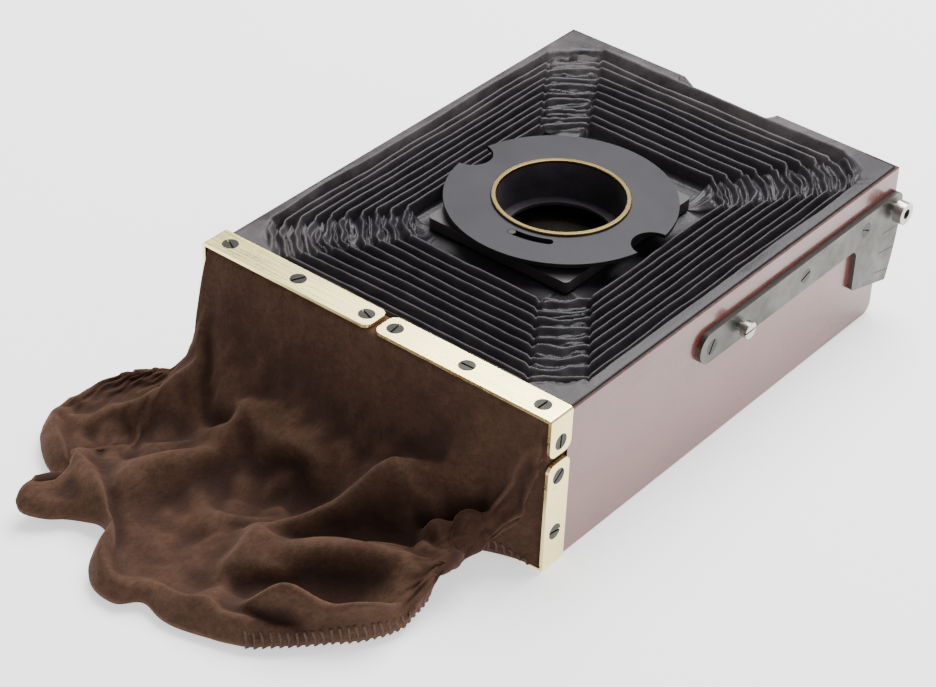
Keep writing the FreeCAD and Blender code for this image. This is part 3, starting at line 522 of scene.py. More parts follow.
def make_bellows():
    places = around_rectangle()
    x_out, x_in = BELLOWS_HIGH.x - 0.1 * MM, FRONT_HIGH.x + 6.9 * MM
    near_out, near_in = BELLOWS_LOW.y + 0.2 * MM, FRONT_LOW.y - 8.0 * MM
    far_out, far_in = BELLOWS_HIGH.y + 0.2 * MM, FRONT_HIGH.y + 12.0 * MM
    rng = random.Random(7)
    lift = [rng.uniform(*RIDGE_UNEVEN) * MM for _ in range(PLEATS + 1)]
    corner_shift = [[rng.uniform(-CORNER_UNEVEN, CORNER_UNEVEN) for _ in range(PLEATS + 1)] for _ in range(4)]
    corner_bow = [[rng.uniform(*CORNER_BOW) for _ in range(PLEATS + 1)] for _ in range(4)]
    lift[0] = SKIRT_LIFT
    ridge_z = HEIGHT + RIDGE_RISE
    rows = []
    for i in range(EDGE_ROWS):
        rows.append(("outer", i / EDGE_ROWS))
    for i in range(PLEATS * PLEAT_STEPS + 1 - PLEAT_STEPS // 2):
        rows.append(("pleat", (i + PLEAT_STEPS / 2) / PLEAT_STEPS))
    for i in range(1, EDGE_ROWS + 1):
        rows.append(("inner", i / EDGE_ROWS))
    points, opened, ridge_values, dust_and_side_light_values = [], [], [], []
    for row, (zone, value) in enumerate(rows):
        unrolled = max(0.0, row - EDGE_ROWS) / (len(rows) - 1 - EDGE_ROWS)
        for place in places:
            order = value if zone == "pleat" else (0.5 if zone == "outer" else PLEATS)
            t = (order - 0.5) / (PLEATS - 0.5)
            half_x = x_out + (x_in - x_out) * t
            near_y = near_out + (near_in - near_out) * t
            far_y = far_out + (far_in - far_out) * t
            leg = FOLD_LEG * (1.0 - 0.12 * t)
            bulge = (0.9 - 0.5 * t) * MM if place[0] == "corner" else 0.0
            x, y = outline_point(place, half_x, near_y, far_y, leg, bulge)
            distance, corner = crease(place, leg)
            index = min(int(order), PLEATS)
            depth = PLEAT_DEPTH * (1 + 0.15 * wobble(x, y, 3.1 + index, 30 * MM))
            side_height = pleat(order)
            bow = math.sin(math.pi * place[2]) if distance is not None else 0.0
            wave = corner_bow[place[1]][index] * bow + 0.30 * wobble(x, y, 31.0 + place[1], 5 * MM)
            shifted = order + (corner_shift[place[1]][index] + wave) * corner
            parting = 0.5 + 0.5 * wobble(x, y, 40.0 + place[1], 11 * MM)
            twin = pleat(2 * shifted - 0.5, 0.12) * (0.45 + 0.5 * parting)
            corner_height = max(pleat(shifted, 0.1) * (1.05 - 0.45 * parting), twin, 0.0)
            height = side_height + (corner_height - side_height) * corner
            z = ridge_z + lift[index] - depth * (1 - height)
            if distance is not None:
                z -= 1.1 * MM * math.exp(-(distance / (0.8 * MM)) ** 2)
                z += 0.7 * MM * corner * (0.4 + wobble(x, y, 50.0, 20 * MM))
            z += 0.45 * MM * wobble(x, y, 11.0, 26 * MM) + 0.16 * MM * wobble(x, y, 13.0, 5 * MM)
            shift = 0.5 * MM * wobble(x, y, 20.0 + index, 22 * MM)
            x += shift * np.sign(x) * (abs(x) > half_x * 0.6)
            y += shift * np.sign(y)
            if zone == "outer":
                skirt_x, skirt_y = skirt_point(place)
                x, y = skirt_x + (x - skirt_x) * value, skirt_y + (y - skirt_y) * value
                z = SKIRT_Z + max(0.0, z - SKIRT_Z) * value ** 1.4
            if zone == "inner":
                fall = smoothstep(value * 1.6)
                lap_x = FRONT_HIGH.x - FRONT_LAP
                lap_near, lap_far = FRONT_LOW.y + FRONT_LAP, FRONT_HIGH.y - FRONT_LAP
                x += (np.sign(x) * lap_x - x) * value * (abs(x) > lap_x)
                if y < lap_near or y > lap_far:
                    y += ((lap_near if y < 0 else lap_far) - y) * value
                low = z - 1.5 * MM * float(fall)
                z = low + (FRONT_LOW.z - 0.7 * MM - low) * value
            points.append(Vector((x, y, z)))
            opened.append(unrolled)
            shown = {"outer": value ** 6, "pleat": 1.0, "inner": 0.0}[zone]
            # ridge crests, where the leather gets its painted highlight
            ridge_values.append(max(0.0, (height - 0.84) / 0.16) * shown)
            dust_and_side_light_values.append(float(smoothstep((0.5 - t) / 0.5)) * DUST_AND_LIGHT_BY_SIDE[place[1]])
    count = len(places)
    faces = []
    for row in range(len(rows) - 1):
        for i in range(count):
            j = (i + 1) % count
            faces.append((row * count + i, row * count + j, (row + 1) * count + j, (row + 1) * count + i))
    bellows = mesh_object("folded_bellows", points, faces, bellows_leather("bellows_leather"))
    point_attribute(bellows, "ridge", ridge_values)
    point_attribute(bellows, "dust_and_side_light", dust_and_side_light_values)
    point_attribute(bellows, "opened", opened)
    thick = bellows.modifiers.new("leather", "SOLIDIFY")
    thick.thickness = LEATHER
    thick.offset = -1.0
    apply_modifiers(bellows)
    blend_by_leather(bellows)
    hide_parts("bellows")


def blend_by_leather(bellows):
    """Draws the bellows out straight for a moment, with the inverse of the smooth step along Z taken from the
    length of leather unrolled, bakes its transform, and puts the folded places back.
    """
    count = len(bellows.data.vertices)
    folded = np.zeros(count * 3, np.float32)
    bellows.data.vertices.foreach_get("co", folded)
    share = np.zeros(count, np.float32)
    bellows.data.attributes["opened"].data.foreach_get("value", share)
    share = np.clip(share, 0, 1)
    drawn = folded.reshape(-1, 3).copy()
    drawn[:, 2] = 0.5 - np.sin(np.arcsin(np.clip(1 - 2 * share, -1, 1)) / 3)
    bellows.data.vertices.foreach_set("co", drawn.ravel())
    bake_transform(bellows)
    bellows.data.vertices.foreach_set("co", folded)
    bellows.data.update()


make_bellows()


# ---- scale on the brackets ----
TICKS = ((5.0, 9.0), (10.0, 9.0), (15.0, 8.0))     # degrees below the bar, length in millimetres
TICK_W = 0.32 * MM
TICK_PROUD = 0.03 * MM
TICK_EDGE = 0.4 * MM              # from the tab's edge


def make_scale(side_name, side):
    """Plain engraved ticks along the tab's arc, blackened."""
    stud_low, stud_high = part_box("pivot_stud_" + side_name)
    low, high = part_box("bracket_" + side_name)
    pivot = Vector((0, (stud_low.y + stud_high.y) / 2, (stud_low.z + stud_high.z) / 2))
    radius = high.y - pivot.y
    x = side * (max(abs(low.x), abs(high.x)) + TICK_PROUD)
    points, faces = [], []
    for degrees, length in TICKS:
        angle = math.radians(-degrees)
        along = Vector((0, math.cos(angle), math.sin(angle)))
        across = Vector((0, -math.sin(angle), math.cos(angle)))
        near, far = radius - length * MM, radius - TICK_EDGE
        for reach, edge in ((near, -1), (far, -1), (far, 1), (near, 1)):
            points.append(pivot + along * reach + across * edge * TICK_W / 2 + Vector((x, 0, 0)))
        base = len(points) - 4
        faces.append((base, base + 1, base + 2, base + 3))
    paint = Paint("tick_black", 0.6)
    paint.set("Base Color", paint.mix(paint.noise(900), (0.008, 0.008, 0.008), (0.03, 0.03, 0.028)))
    ticks = mesh_object("scale_ticks_" + side_name, points, faces, paint.material, False)
    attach(ticks, "box")


for side_name, side in (("right", 1), ("left", -1)):
    make_scale(side_name, side)


# ---- suede bag ----
BAG_COLUMNS = 130
BAG_ROWS = 46
BAG_FLOOR_ROWS = 12
SUEDE = 0.8 * MM
MOUTH_SHARES = (0.30, 0.80)       # columns at the mouth's upper corners
MOUTH_TUCK = 0.6                  # millimetres in from the wood
MOUTH_LOW = 1.9                   # of its lower edge, over the straps
SHEET_LOW = 0.6                   # lowest place of either sheet
ROW_SPREAD = 1.15                 # crowds the rows towards the mouth
DROP_POWER = 2.2                  # how squarely the sheet falls from the mouth
PLUMP, PLUMP_LOSS = 8.5, 0.035    # thickness where it lies, and loss per millimetre out
PLUMP_START, PLUMP_RUN = 3.0, 16.0
CRUMPLE = 0.9
COLLAR_DEPTHS = (7.5, 4.0, 1.5)   # rows of the collar, inside the mouth
# The hem on the ground, from the mouth's lower left corner round to its lower right one, as
# millimetres across, out from the mouth, up, and the share of the columns passed by then. This and
# the folds below follow places judged in the photograph through the solved camera, at heights that
# are guesses.
HEM = (
    (-60.0, 1.2, 0.6, 0.00), (-63.0, 8.0, 0.8, 0.03), (-69.0, 16.0, 1.2, 0.07), (-77.0, 26.0, 1.4, 0.11),
    (-80.5, 35.0, 1.6, 0.15), (-80.0, 45.0, 1.4, 0.19), (-75.0, 53.0, 1.4, 0.23), (-67.0, 58.5, 1.0, 0.26),
    (-59.0, 61.5, 1.5, 0.29), (-55.0, 67.0, 3.6, 0.31), (-58.5, 75.0, 4.5, 0.33), (-55.5, 79.5, 4.0, 0.345),
    (-50.0, 77.0, 3.0, 0.36), (-44.0, 71.0, 2.0, 0.38), (-36.0, 68.5, 2.6, 0.405), (-30.0, 72.0, 2.6, 0.43),
    (-27.5, 80.5, 1.2, 0.45), (-21.0, 86.0, 0.8, 0.475), (-12.0, 86.5, 1.0, 0.50), (-7.0, 82.0, 1.6, 0.52),
    (2.0, 83.0, 0.8, 0.55), (13.0, 80.5, 0.8, 0.58), (24.0, 76.5, 1.4, 0.61), (32.0, 70.0, 2.2, 0.635),
    (39.5, 61.5, 2.0, 0.66), (45.5, 53.5, 1.6, 0.69), (49.0, 44.0, 1.8, 0.72), (48.0, 34.0, 2.6, 0.75),
    (44.0, 25.0, 3.2, 0.78), (38.5, 18.5, 2.0, 0.80), (38.0, 12.5, 2.2, 0.83), (44.0, 8.0, 3.4, 0.88),
    (51.0, 4.5, 3.6, 0.94), (60.0, 1.2, 0.6, 1.00),
)
HEM_ROUND = ((0.0, 6.0), (0.24, 5.0), (0.30, 3.5), (0.54, 4.0),
             (0.62, 6.0), (0.72, 9.0), (0.8, 5.0), (1.0, 3.0))
DROP = ((-60, 6.0), (-50, 8.0), (-10, 7.5), (10, 6.0), (28, 4.0), (60, 4.5))
# Folds: points along the crest as (across, out from the mouth, height), its width on the side
# towards the mouth or the left and on the other side, and how far it leans over to that side.
FOLDS = (
    (((-52, 11, 3), (-42, 16, 5), (-24, 18, 5), (-8, 19, 6), (6, 18, 7), (18, 12, 7)), 6.0, 9.0, 0.0),
    (((36, 3, 6), (29, 7, 10), (19, 14, 10), (10, 25, 10), (3, 36, 9), (-1, 46, 7), (4, 62, 5), (9, 74, 2)),
     3.4, 6.5, 2.4),
    (((-29, 22, 4), (-31, 33, 7), (-35, 45, 8), (-37, 56, 6), (-33, 64, 2)), 6.0, 5.0, 0.0),
    (((8, 49, 4), (22, 42, 9), (34, 36, 10), (42, 31, 7)), 7.0, 9.0, 0.0),
    (((-54, 17, 5), (-58, 25, 5), (-66, 31, 3), (-75, 34, 2)), 3.6, 4.5, 0.8),
    (((-74, 40, 1), (-64, 46, 4), (-52, 54, 7), (-42, 62, 7), (-35, 68, 4)), 2.8, 7.0, -1.6),
    (((-40, 70, 2), (-33, 68, 4), (-28, 72, 5), (-25, 79, 5), (-16, 84, 3)), 2.2, 2.4, 0.6),
    (((56, 1, 0), (50, 5, 5), (45, 8, 7), (41, 11, 6)), 2.6, 2.6, 0.8),
    (((-6, 77, 1.5), (4, 77, 3), (16, 75, 3), (24, 71, 1)), 1.6, 2.2, 0.5),
    (((-60, 2, 0), (-56, 8, 4), (-52, 12, 4)), 3.0, 2.4, 0.6),
    (((18, 68, 3), (22, 64, 11), (27, 61, 14), (32, 60, 11),
      (36, 58, 6), (41, 54, 9), (46, 48, 6), (48, 42, 1)), 2.4, 5.0, -2.2),
    (((-70, 38, 1), (-73, 45, 2), (-68, 53, 3), (-60, 58, 2)), 3.0, 3.5, 0.0),
    (((40, 13, 0), (36, 13, 5), (33, 18, 5), (38, 23, 3)), 2.6, 2.6, 0.6),
)
# Hollows between them, the same way, with depths.
HOLLOWS = (
    (((-54, 5, 3), (-50, 11, 7), (-42, 19, 8), (-35, 20, 8), (-33, 21, 3)), 2.6, 2.6),
    (((-28, 30, 3), (-21, 36, 7), (-12, 34, 9), (-2, 26, 9), (8, 19, 6)), 7.0, 6.0),
    (((0, 44, 3), (10, 35, 8), (20, 28, 9), (30, 21, 10), (35, 18, 6)), 4.0, 4.0),
    (((0, 66, 2), (12, 61, 7), (22, 55, 9), (33, 50, 8), (43, 45, 3)), 5.5, 5.0),
    (((-66, 42, 4), (-52, 50, 7), (-41, 58, 7), (-31, 66, 6), (-26, 72, 3)), 2.6, 3.0),
    (((-46, 26, 5), (-52, 34, 7), (-50, 42, 6), (-58, 36, 4)), 5.0, 5.0),
    (((56, 1, 0), (50, 2, 5), (44, 5, 9), (36, 9, 9), (30, 14, 7)), 2.0, 2.2),
    (((-26, 47, 3), (-20, 54, 4), (-14, 60, 3)), 5.5, 5.5),
    (((-62, 57, 2), (-58, 62, 6)), 3.0, 3.0),
)


def spline(points, share):
    """Point at share, 0 to 1, of a Catmull-Rom curve through points."""
    place = min(max(share, 0.0), 1.0) * (len(points) - 1)
    index = min(int(place), len(points) - 2)
    t = place - index
    p = [np.array(points[min(max(index + k, 0), len(points) - 1)], float) for k in (-1, 0, 1, 2)]
    return 0.5 * (2 * p[1] + (p[2] - p[0]) * t + (2 * p[0] - 5 * p[1] + 4 * p[2] - p[3]) * t * t
                  + (3 * p[1] - p[0] - 3 * p[2] + p[3]) * t ** 3)


def densely(points, count=60):
    return np.array([spline(points, i / (count - 1)) for i in range(count)])


def hem_at(share):
    """Hem point, in millimetres across, out and up, for a column's share."""
    shares = [p[3] for p in HEM]
    index = min(max(int(np.searchsorted(shares, share, "right")) - 1, 0), len(HEM) - 2)
    t = (share - shares[index]) / (shares[index + 1] - shares[index])
    return spline([p[:3] for p in HEM], (index + t) / (len(HEM) - 1))


def mouth_at(share):
    """Mouth point, round its left side, top and right side: across and up."""
    half, low, high = HALF_W / MM - MOUTH_TUCK, MOUTH_LOW, HEIGHT / MM + 0.8
    left, right = MOUTH_SHARES
    if share < left:
        return -half, low + (high - low) * share / left
    if share > right:
        return half, low + (high - low) * (1 - share) / (1 - right)
    return -half + 2 * half * (share - left) / (right - left), high


def beside(line, x, out):
    """Distances of points from a crest line: nearest point's values and the signed distance."""
    delta_x, delta_out = x[:, None] - line[None, :, 0], out[:, None] - line[None, :, 1]
    squared = delta_x ** 2 + delta_out ** 2
    nearest = np.argmin(squared, 1)
    along = np.gradient(line[:, :2], axis=0)
    along /= np.linalg.norm(along, axis=1, keepdims=True) + 1e-9
    tangent = along[nearest]
    rows = np.arange(len(x))
    side = tangent[:, 0] * delta_out[rows, nearest] - tangent[:, 1] * delta_x[rows, nearest]
    return line[nearest, 2], np.sqrt(squared[rows, nearest]) * np.sign(side), tangent


def bag_top():
    """Upper sheet as rows from the mouth to the hem: an array of points in millimetres."""
    grid = np.zeros((BAG_ROWS + 1, BAG_COLUMNS + 1, 3))
    for j in range(BAG_COLUMNS + 1):
        share = j / BAG_COLUMNS
        mouth_x, mouth_z = mouth_at(share)
        hem_x, hem_out, hem_z = hem_at(share)
        reach = math.hypot(hem_x - mouth_x, hem_out)
        hem_round = float(np.interp(share, *zip(*HEM_ROUND)))
        drop = float(np.interp(mouth_x, *zip(*DROP)))
        for i in range(BAG_ROWS + 1):
            s = (i / BAG_ROWS) ** ROW_SPREAD
            gone = s * reach
            x, out = mouth_x + (hem_x - mouth_x) * s, hem_out * s
            fall = 1 / (1 + (gone / drop) ** DROP_POWER)
            edge = math.sqrt(max(0.0, 1 - (1 - min((reach - gone) / hem_round, 1.0)) ** 2))
            rise = float(smoothstep((gone - PLUMP_START) / PLUMP_RUN))
            plump = (PLUMP - PLUMP_LOSS * out) * rise * edge
            z = mouth_z * fall * (1 - s ** 3) + plump + hem_z * s ** 4
            grid[i, j] = x, out, z
    x, out, z = grid[..., 0].ravel(), grid[..., 1].ravel(), grid[..., 2].ravel()
    rows = np.repeat(np.arange(BAG_ROWS + 1) / BAG_ROWS, BAG_COLUMNS + 1)
    free = smoothstep((rows - 0.03) / 0.12) * smoothstep((1.0 - rows) / 0.07)
    rest = np.stack([x, out], 1)
    for points, near, far, lean in FOLDS:
        high, distance, tangent = beside(densely(points), rest[:, 0], rest[:, 1])
        width = np.where(distance > 0, near, far)
        shape = np.exp(-(distance / width) ** 2) * high * free
        z += shape
        push = lean * np.exp(-(distance / (0.8 * far)) ** 2) * free * np.clip(high / 8, 0, 1.2)
        x += push * tangent[:, 1]
        out -= push * tangent[:, 0]
    for points, near, far in HOLLOWS:
        deep, distance, _ = beside(densely(points), rest[:, 0], rest[:, 1])
        width = np.where(distance > 0, near, far)
        z -= np.exp(-np.abs(distance / width) ** 1.5) * deep * free
    crumple = np.array([noise.noise(Vector((a / 9, b / 7, 3.3)))
                        + 0.5 * noise.noise(Vector((a / 4.5, b / 4, 8.8))) for a, b in rest])
    z += CRUMPLE * crumple * free
    z = np.maximum(z, SHEET_LOW + 1.4 * smoothstep((1.0 - rows) / 0.05))
    return np.stack([x, out, z], 1).reshape(BAG_ROWS + 1, BAG_COLUMNS + 1, 3)


def bag_floor(top):
    """Lower sheet: from the mouth's lower edge out to the same hem, nearly flat."""
    hem = top[-1]
    rows = np.zeros((BAG_FLOOR_ROWS + 1, BAG_COLUMNS + 1, 3))
    for j in range(BAG_COLUMNS + 1):
        share = j / BAG_COLUMNS
        start_x = (HALF_W / MM - MOUTH_TUCK) * (2 * share - 1)
        for i in range(BAG_FLOOR_ROWS + 1):
            s = i / BAG_FLOOR_ROWS
            x, out = start_x + (hem[j, 0] - start_x) * s, hem[j, 1] * s
            ripple = 0.25 * (1 + noise.noise(Vector((x / 12, out / 12, 5.0))))
            low = MOUTH_LOW + (SHEET_LOW - MOUTH_LOW) * min(1, 8 * s)
            rows[i, j] = x, out, low + ripple * min(1, 6 * s * (1 - s)) + (hem[j, 2] - SHEET_LOW) * s ** 6
    return rows


def bag_mesh():
    """The sack before it settles: upper and lower sheets that share the hem, open at the mouth."""
    top = bag_top()
    floor = bag_floor(top)
    collar = np.stack([np.stack([top[0, :, 0], np.full(BAG_COLUMNS + 1, -depth), top[0, :, 2]], 1)
                       for depth in COLLAR_DEPTHS])
    sheets = [np.concatenate([collar, top]), floor[:-1]]
    points, index = [], []
    for sheet in sheets:
        start = len(points)
        points += [Vector((p[0] * MM, Y_MOUTH - p[1] * MM, p[2] * MM)) for p in sheet.reshape(-1, 3)]
        index.append(start + np.arange(sheet.shape[0] * sheet.shape[1]).reshape(sheet.shape[:2]))
    lower = np.concatenate([index[1], index[0][-1:]])
    faces = []
    for rows, flip in ((index[0], False), (lower, True)):
        for i in range(rows.shape[0] - 1):
            for j in range(rows.shape[1] - 1):
                quad = [int(rows[i, j]), int(rows[i, j + 1]), int(rows[i + 1, j + 1]), int(rows[i + 1, j])]
                faces.append(quad[::-1] if not flip else quad)
    return points, faces, index


def suede(name):
    """Dark brown suede: a napped surface, lighter on its folds as painted highlight and rubbed nap, darker in
    its creases as painted shade.
    """
    paint = Paint(name, 0.95)
    cloud = paint.noise(42, 5, 0.6)
    patch = paint.noise(130, 6, 0.7, None, 0.6)
    nap = paint.noise(2600, 4, 0.65, paint.stretched((1, 0.55, 1)))
    tuft = paint.noise(560, 5, 0.72, paint.stretched((1, 0.45, 1)), 0.4)
    color = paint.mix(paint.remap(cloud, 0.32, 0.68), (0.046, 0.021, 0.014), (0.080, 0.040, 0.024))
    patches = paint.times(paint.remap(patch, 0.45, 0.72), 0.4)
    color = paint.mix(patches, color, (0.120, 0.064, 0.036))
    # painted light: folds lighter (painted highlight, also rubbed nap), creases darker (painted shade)
    rubbed_and_painted_light = paint.attribute("rubbed_and_painted_light")
    color = paint.mix(paint.remap(rubbed_and_painted_light, 0.0, 0.8, 0.0, 0.24), color, (0.130, 0.074, 0.044))
    color = paint.mix(paint.remap(rubbed_and_painted_light, -0.8, 0.0, 0.58, 0.0), color, (0.012, 0.006, 0.007))
    for grain, low, high, strength in ((tuft, 0.42, 0.64, 0.42), (nap, 0.35, 0.7, 0.35)):
        shade = paint.times(paint.remap(grain, low, high), strength)
        color = paint.mix(shade, color, (0.018, 0.009, 0.008))
    paint.set("Base Color", color)
    paint.set("Specular IOR Level", 0.15)
    paint.set("Sheen Weight", 0.20)
    paint.set("Sheen Roughness", 0.45)
    paint.set("Sheen Tint", (0.80, 0.46, 0.32))
    return paint.bump(nap, 0.00025, 0.55).bump(tuft, 0.0005, 0.5).bump(patch, 0.0006, 0.35).material


SIM_SCALE = 10.0          # the solver works best on things about a metre across
SIM_FRAMES = 18
SIM_GROWTH = 0.055        # extra leather, so that it wrinkles as it settles
SIM_CAP = 7.0 * MM        # no point settles further than this
HELD_ROWS = 4             # collar and mouth, held by the straps
HEM_HOLD = 0.85
SIDE_HOLD = ((0.0, 1.0), (0.10, 1.0), (0.17, 0.0), (0.76, 0.0), (0.83, 1.0), (1.0, 1.0))   # short side panels
PANEL_HOLD, PANEL_ROWS = 0.75, 12    # the hanging panel under the straps
SHAPE_HOLD = 0.22         # how firmly the rest keeps its folds
SIM_GAP, SIM_SELF_GAP = 0.004, 0.006      # at the simulation's scale
SIM_FLOOR = 3.0
REST_GAP = 0.3 * MM       # from the mouth's plane and the ground


def settle(obj, hold):
    """Lets the sheet sag and wrinkle over its folds by cloth simulation, on a floor at its own scale."""
    scene = bpy.context.scene
    sim = bpy.data.objects.new("settling", obj.data.copy())
    scene.collection.objects.link(sim)
    sim.data.transform(Matrix.Scale(SIM_SCALE, 4))
    group = sim.vertex_groups.new(name="hold")
    for index, weight in enumerate(hold):
        if weight > 0:
            group.add([index], float(weight), "REPLACE")
    cloth = sim.modifiers.new("cloth", "CLOTH")
    settings = cloth.settings
    settings.quality = 5
    settings.mass = 0.35
    settings.tension_stiffness = settings.compression_stiffness = 18
    settings.shear_stiffness = 8
    settings.bending_stiffness = 1.5
    settings.air_damping = 3
    settings.shrink_min = -SIM_GROWTH
    settings.vertex_group_mass = "hold"
    settings.pin_stiffness = 1.0
    touch = cloth.collision_settings
    touch.distance_min, touch.self_distance_min = SIM_GAP, SIM_SELF_GAP
    touch.use_self_collision = True
    cloth.point_cache.frame_start, cloth.point_cache.frame_end = 1, SIM_FRAMES
    floor = square("settling_floor", SIM_FLOOR, 0.0, obj.data.materials[0])
    floor.modifiers.new("collision", "COLLISION")
    floor.collision.thickness_outer = SIM_GAP
    for step in range(1, SIM_FRAMES + 1):
        scene.frame_set(step)
    settled = sim.evaluated_get(bpy.context.evaluated_depsgraph_get()).data
    places, before = (np.zeros(len(obj.data.vertices) * 3, np.float32) for _ in range(2))
    settled.vertices.foreach_get("co", places)
    obj.data.vertices.foreach_get("co", before)
    before = before.reshape(-1, 3)
    moved = places.reshape(-1, 3) / SIM_SCALE - before
    far = np.linalg.norm(moved, axis=1, keepdims=True)
    slack = smoothstep((1.0 - np.asarray(hold)) / (1.0 - HEM_HOLD))[:, None]
    after = before + moved * slack * np.minimum(1.0, SIM_CAP / np.maximum(far, 1e-9))
    loose = before[:, 1] < Y_MOUTH
    after[loose, 1] = np.minimum(after[loose, 1], Y_MOUTH - REST_GAP)
    after[:, 2] = np.maximum(after[:, 2], REST_GAP)
    obj.data.vertices.foreach_set("co", after.ravel())
    obj.data.update()
    scene.frame_set(1)
    for helper in (sim, floor):
        bpy.data.objects.remove(helper)


STITCHED = ((0.615, 0.775), (0.825, 0.985))   # shares of the hem that are whip-stitched
STITCH_PITCH = 2.2 * MM
THREAD_R = 0.36 * MM
STITCH_LIFT, STITCH_OUT = 0.45 * MM, 0.3 * MM    # off the sheet, off the hem
STITCH_SLANT = (0.5, 0.9)                        # millimetres along the hem


def thread_tube(points, radius, sides=6):
    """Vertices and faces of a round thread through points."""
    vertices, faces = [], []
    for i, point in enumerate(points):
        along = (points[min(i + 1, len(points) - 1)] - points[max(i - 1, 0)]).normalized()
        across = along.cross(Vector((0.3, 0.2, 1.0))).normalized()
        up = across.cross(along)
        for k in range(sides):
            turn = math.tau * k / sides
            vertices.append(point + (across * math.cos(turn) + up * math.sin(turn)) * radius)
    for i in range(len(points) - 1):
        for k in range(sides):
            a, b = i * sides + k, i * sides + (k + 1) % sides
            faces.append((a, b, b + sides, a + sides))
    faces.append(tuple(range(sides))[::-1])
    faces.append(tuple(range(len(vertices) - sides, len(vertices))))
    return vertices, faces


def crease_corners(obj, lines):
    """Keeps the mouth's upper corners square, so that the wood's corners stay covered."""
    sharp = {int(i) for line in lines for i in line}
    crease = obj.data.attributes.new("crease_edge", "FLOAT", "EDGE")
    for edge in obj.data.edges:
        if edge.vertices[0] in sharp and edge.vertices[1] in sharp:
            crease.data[edge.index].value = 1.0


def outwardness(obj, rounds=4):
    """How far each vertex stands out of its surroundings, smoothed, from -1 in a crease to 1 on a fold."""
    mesh = obj.data
    count = len(mesh.vertices)
    places, normals = np.zeros(count * 3), np.zeros(count * 3)
    mesh.vertices.foreach_get("co", places)
    mesh.vertices.foreach_get("normal", normals)
    places, normals = places.reshape(-1, 3), normals.reshape(-1, 3)
    ends = np.zeros(len(mesh.edges) * 2, np.int64)
    mesh.edges.foreach_get("vertices", ends)
    a, b = ends[0::2], ends[1::2]
    near = np.maximum(np.bincount(a, minlength=count) + np.bincount(b, minlength=count), 1)

    def around(values):
        total = np.zeros_like(values)
        np.add.at(total, a, values[b])
        np.add.at(total, b, values[a])
        return total / near.reshape((-1,) + (1,) * (values.ndim - 1))

    wide = places
    for _ in range(rounds):
        wide = around(wide)
    stands = np.einsum("ij,ij->i", places - wide, normals) / (0.35 * MM)
    return np.clip(around(around(stands)), -1, 1)


def make_stitches(rows):
    """Slanted whip stitches that wrap over the hem, in dark brown thread.

    rows are the upper sheet's last three rows, the hem being the third, and the floor's last.
    """
    rng = random.Random(11)
    vertices, faces = [], []
    hem = rows[2]
    lift = Vector((0, 0, STITCH_LIFT))
    for first, last in STITCHED:
        start, stop = int(first * BAG_COLUMNS), int(last * BAG_COLUMNS)
        steps = [(hem[k + 1] - hem[k]).length for k in range(start, stop)]
        for n in range(int(sum(steps) / STITCH_PITCH)):
            gone, k = (n + 0.5) * STITCH_PITCH, 0
            while gone > steps[k]:
                gone -= steps[k]
                k += 1
            share, k = gone / steps[k], k + start
            inner, upper, edge, lower = (row[k].lerp(row[k + 1], share) for row in rows)
            slant = (hem[k + 1] - hem[k]).normalized() * rng.uniform(*STITCH_SLANT) * MM
            out = (edge - upper).normalized() * STITCH_OUT
            arc = [inner.lerp(upper, 0.75) + lift * 0.2 - slant * 2.0, upper + lift * 1.3 - slant * 1.2,
                   upper.lerp(edge, 0.6) + lift * 1.2 + out * 0.4 - slant * 0.2, edge + out,
                   edge.lerp(lower, 0.2) - lift * 0.5 + slant * 0.6]
            new, quads = thread_tube(arc, THREAD_R)
            faces += [tuple(len(vertices) + i for i in face) for face in quads]
            vertices += new
    paint = Paint("stitch_thread", 0.7)
    twist = paint.noise(1800, 3, 0.6)
    paint.set("Base Color", paint.mix(twist, (0.030, 0.011, 0.009), (0.095, 0.042, 0.024)))
    stitches = mesh_object("bag_stitches", vertices, faces, paint.bump(twist, 0.0001, 0.5).material)
    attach(stitches, "box")
    return stitches


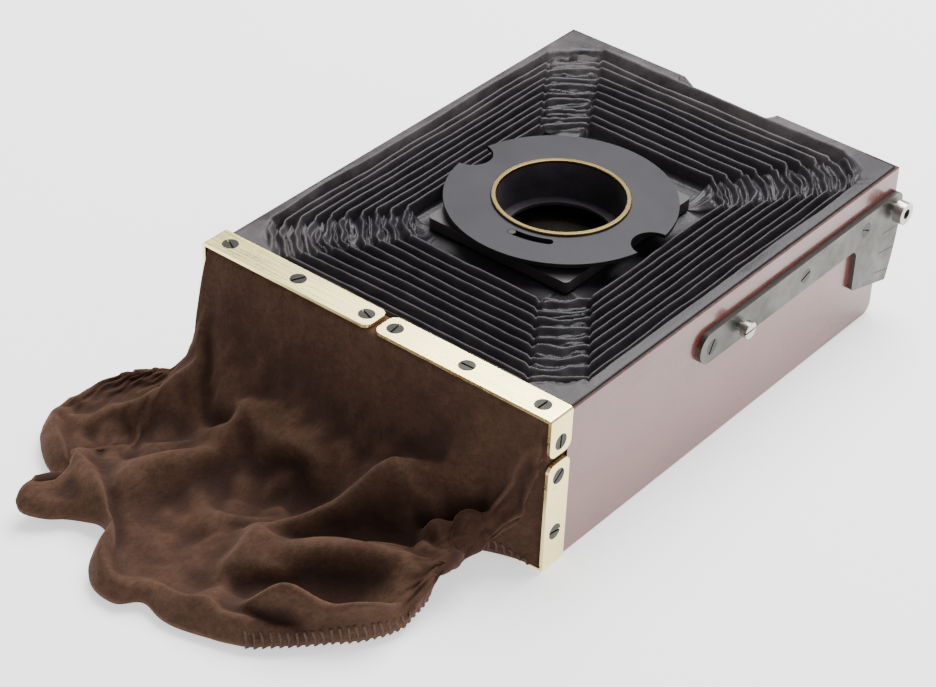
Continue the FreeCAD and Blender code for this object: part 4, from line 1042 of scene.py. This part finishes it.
def make_bag():
    points, faces, index = bag_mesh()
    bag = mesh_object("suede_sack", points, faces, suede("suede"))
    hold = np.full(len(points), SHAPE_HOLD)
    hold[index[0][:HELD_ROWS].ravel()] = 1.0
    hold[index[0][-2:].ravel()] = HEM_HOLD
    hold[index[1].ravel()] = HEM_HOLD
    hold[index[1][:2].ravel()] = 1.0
    panel = np.linspace(PANEL_HOLD, SHAPE_HOLD, PANEL_ROWS)
    for row, firm in enumerate(panel, HELD_ROWS):
        hold[index[0][row]] = firm
    shares = np.arange(BAG_COLUMNS + 1) / BAG_COLUMNS
    side = np.interp(shares, *zip(*SIDE_HOLD))
    for grid in index:
        hold[grid] = np.maximum(hold[grid], side[None, :])
    settle(bag, hold)
    crease_corners(bag, [index[0][:HELD_ROWS + 1, round(share * BAG_COLUMNS)] for share in MOUTH_SHARES])
    smooth = bag.modifiers.new("smooth", "SUBSURF")
    smooth.levels = smooth.render_levels = 1
    apply_modifiers(bag)
    edge_rows = [[bag.data.vertices[int(i)].co.copy() for i in row]
                 for row in (index[0][-3], index[0][-2], index[0][-1], index[1][-1])]
    # how far each place stands out, for the suede's painted highlights on folds and painted shade in creases
    point_attribute(bag, "rubbed_and_painted_light", outwardness(bag))
    thick = bag.modifiers.new("suede", "SOLIDIFY")
    thick.thickness = SUEDE
    thick.offset = -1.0
    apply_modifiers(bag)
    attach(bag, "box")
    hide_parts("suede_bag")
    stitches = make_stitches(edge_rows)


make_bag()


# ---- stage ----
FLOOR_HALF, FLOOR_Z = 3.0, -0.0002
WORLD_STRENGTH = 0.48
LIGHTS = (("overhead", (-0.10, 0.45, 0.95), 0.9, 30), ("side", (1.1, 0.1, 0.55), 0.8, 3))   # size, watts


def area_light(name, place, target, size, power):
    data = bpy.data.lights.new(name, "AREA")
    data.energy, data.size = power, size
    lamp = bpy.data.objects.new(name, data)
    bpy.context.scene.collection.objects.link(lamp)
    lamp.location = place
    lamp.rotation_euler = (Vector(target) - Vector(place)).to_track_quat("-Z", "Y").to_euler()


def make_stage():
    paint = Paint("floor_paper", 0.9, 0.0, (0.92, 0.92, 0.92))
    paint.set("Emission Color", (1, 1, 1)).set("Emission Strength", 0.95)
    floor = square("floor", FLOOR_HALF, FLOOR_Z, paint.material)
    world = bpy.data.worlds.new("studio")
    bpy.context.scene.world = world
    world.use_nodes = True
    background = world.node_tree.nodes["Background"].inputs
    background["Color"].default_value = (1, 1, 1, 1)
    background["Strength"].default_value = WORLD_STRENGTH
    for name, place, size, power in LIGHTS:
        area_light(name, place, (0, 0, 0), size, power)


make_stage()
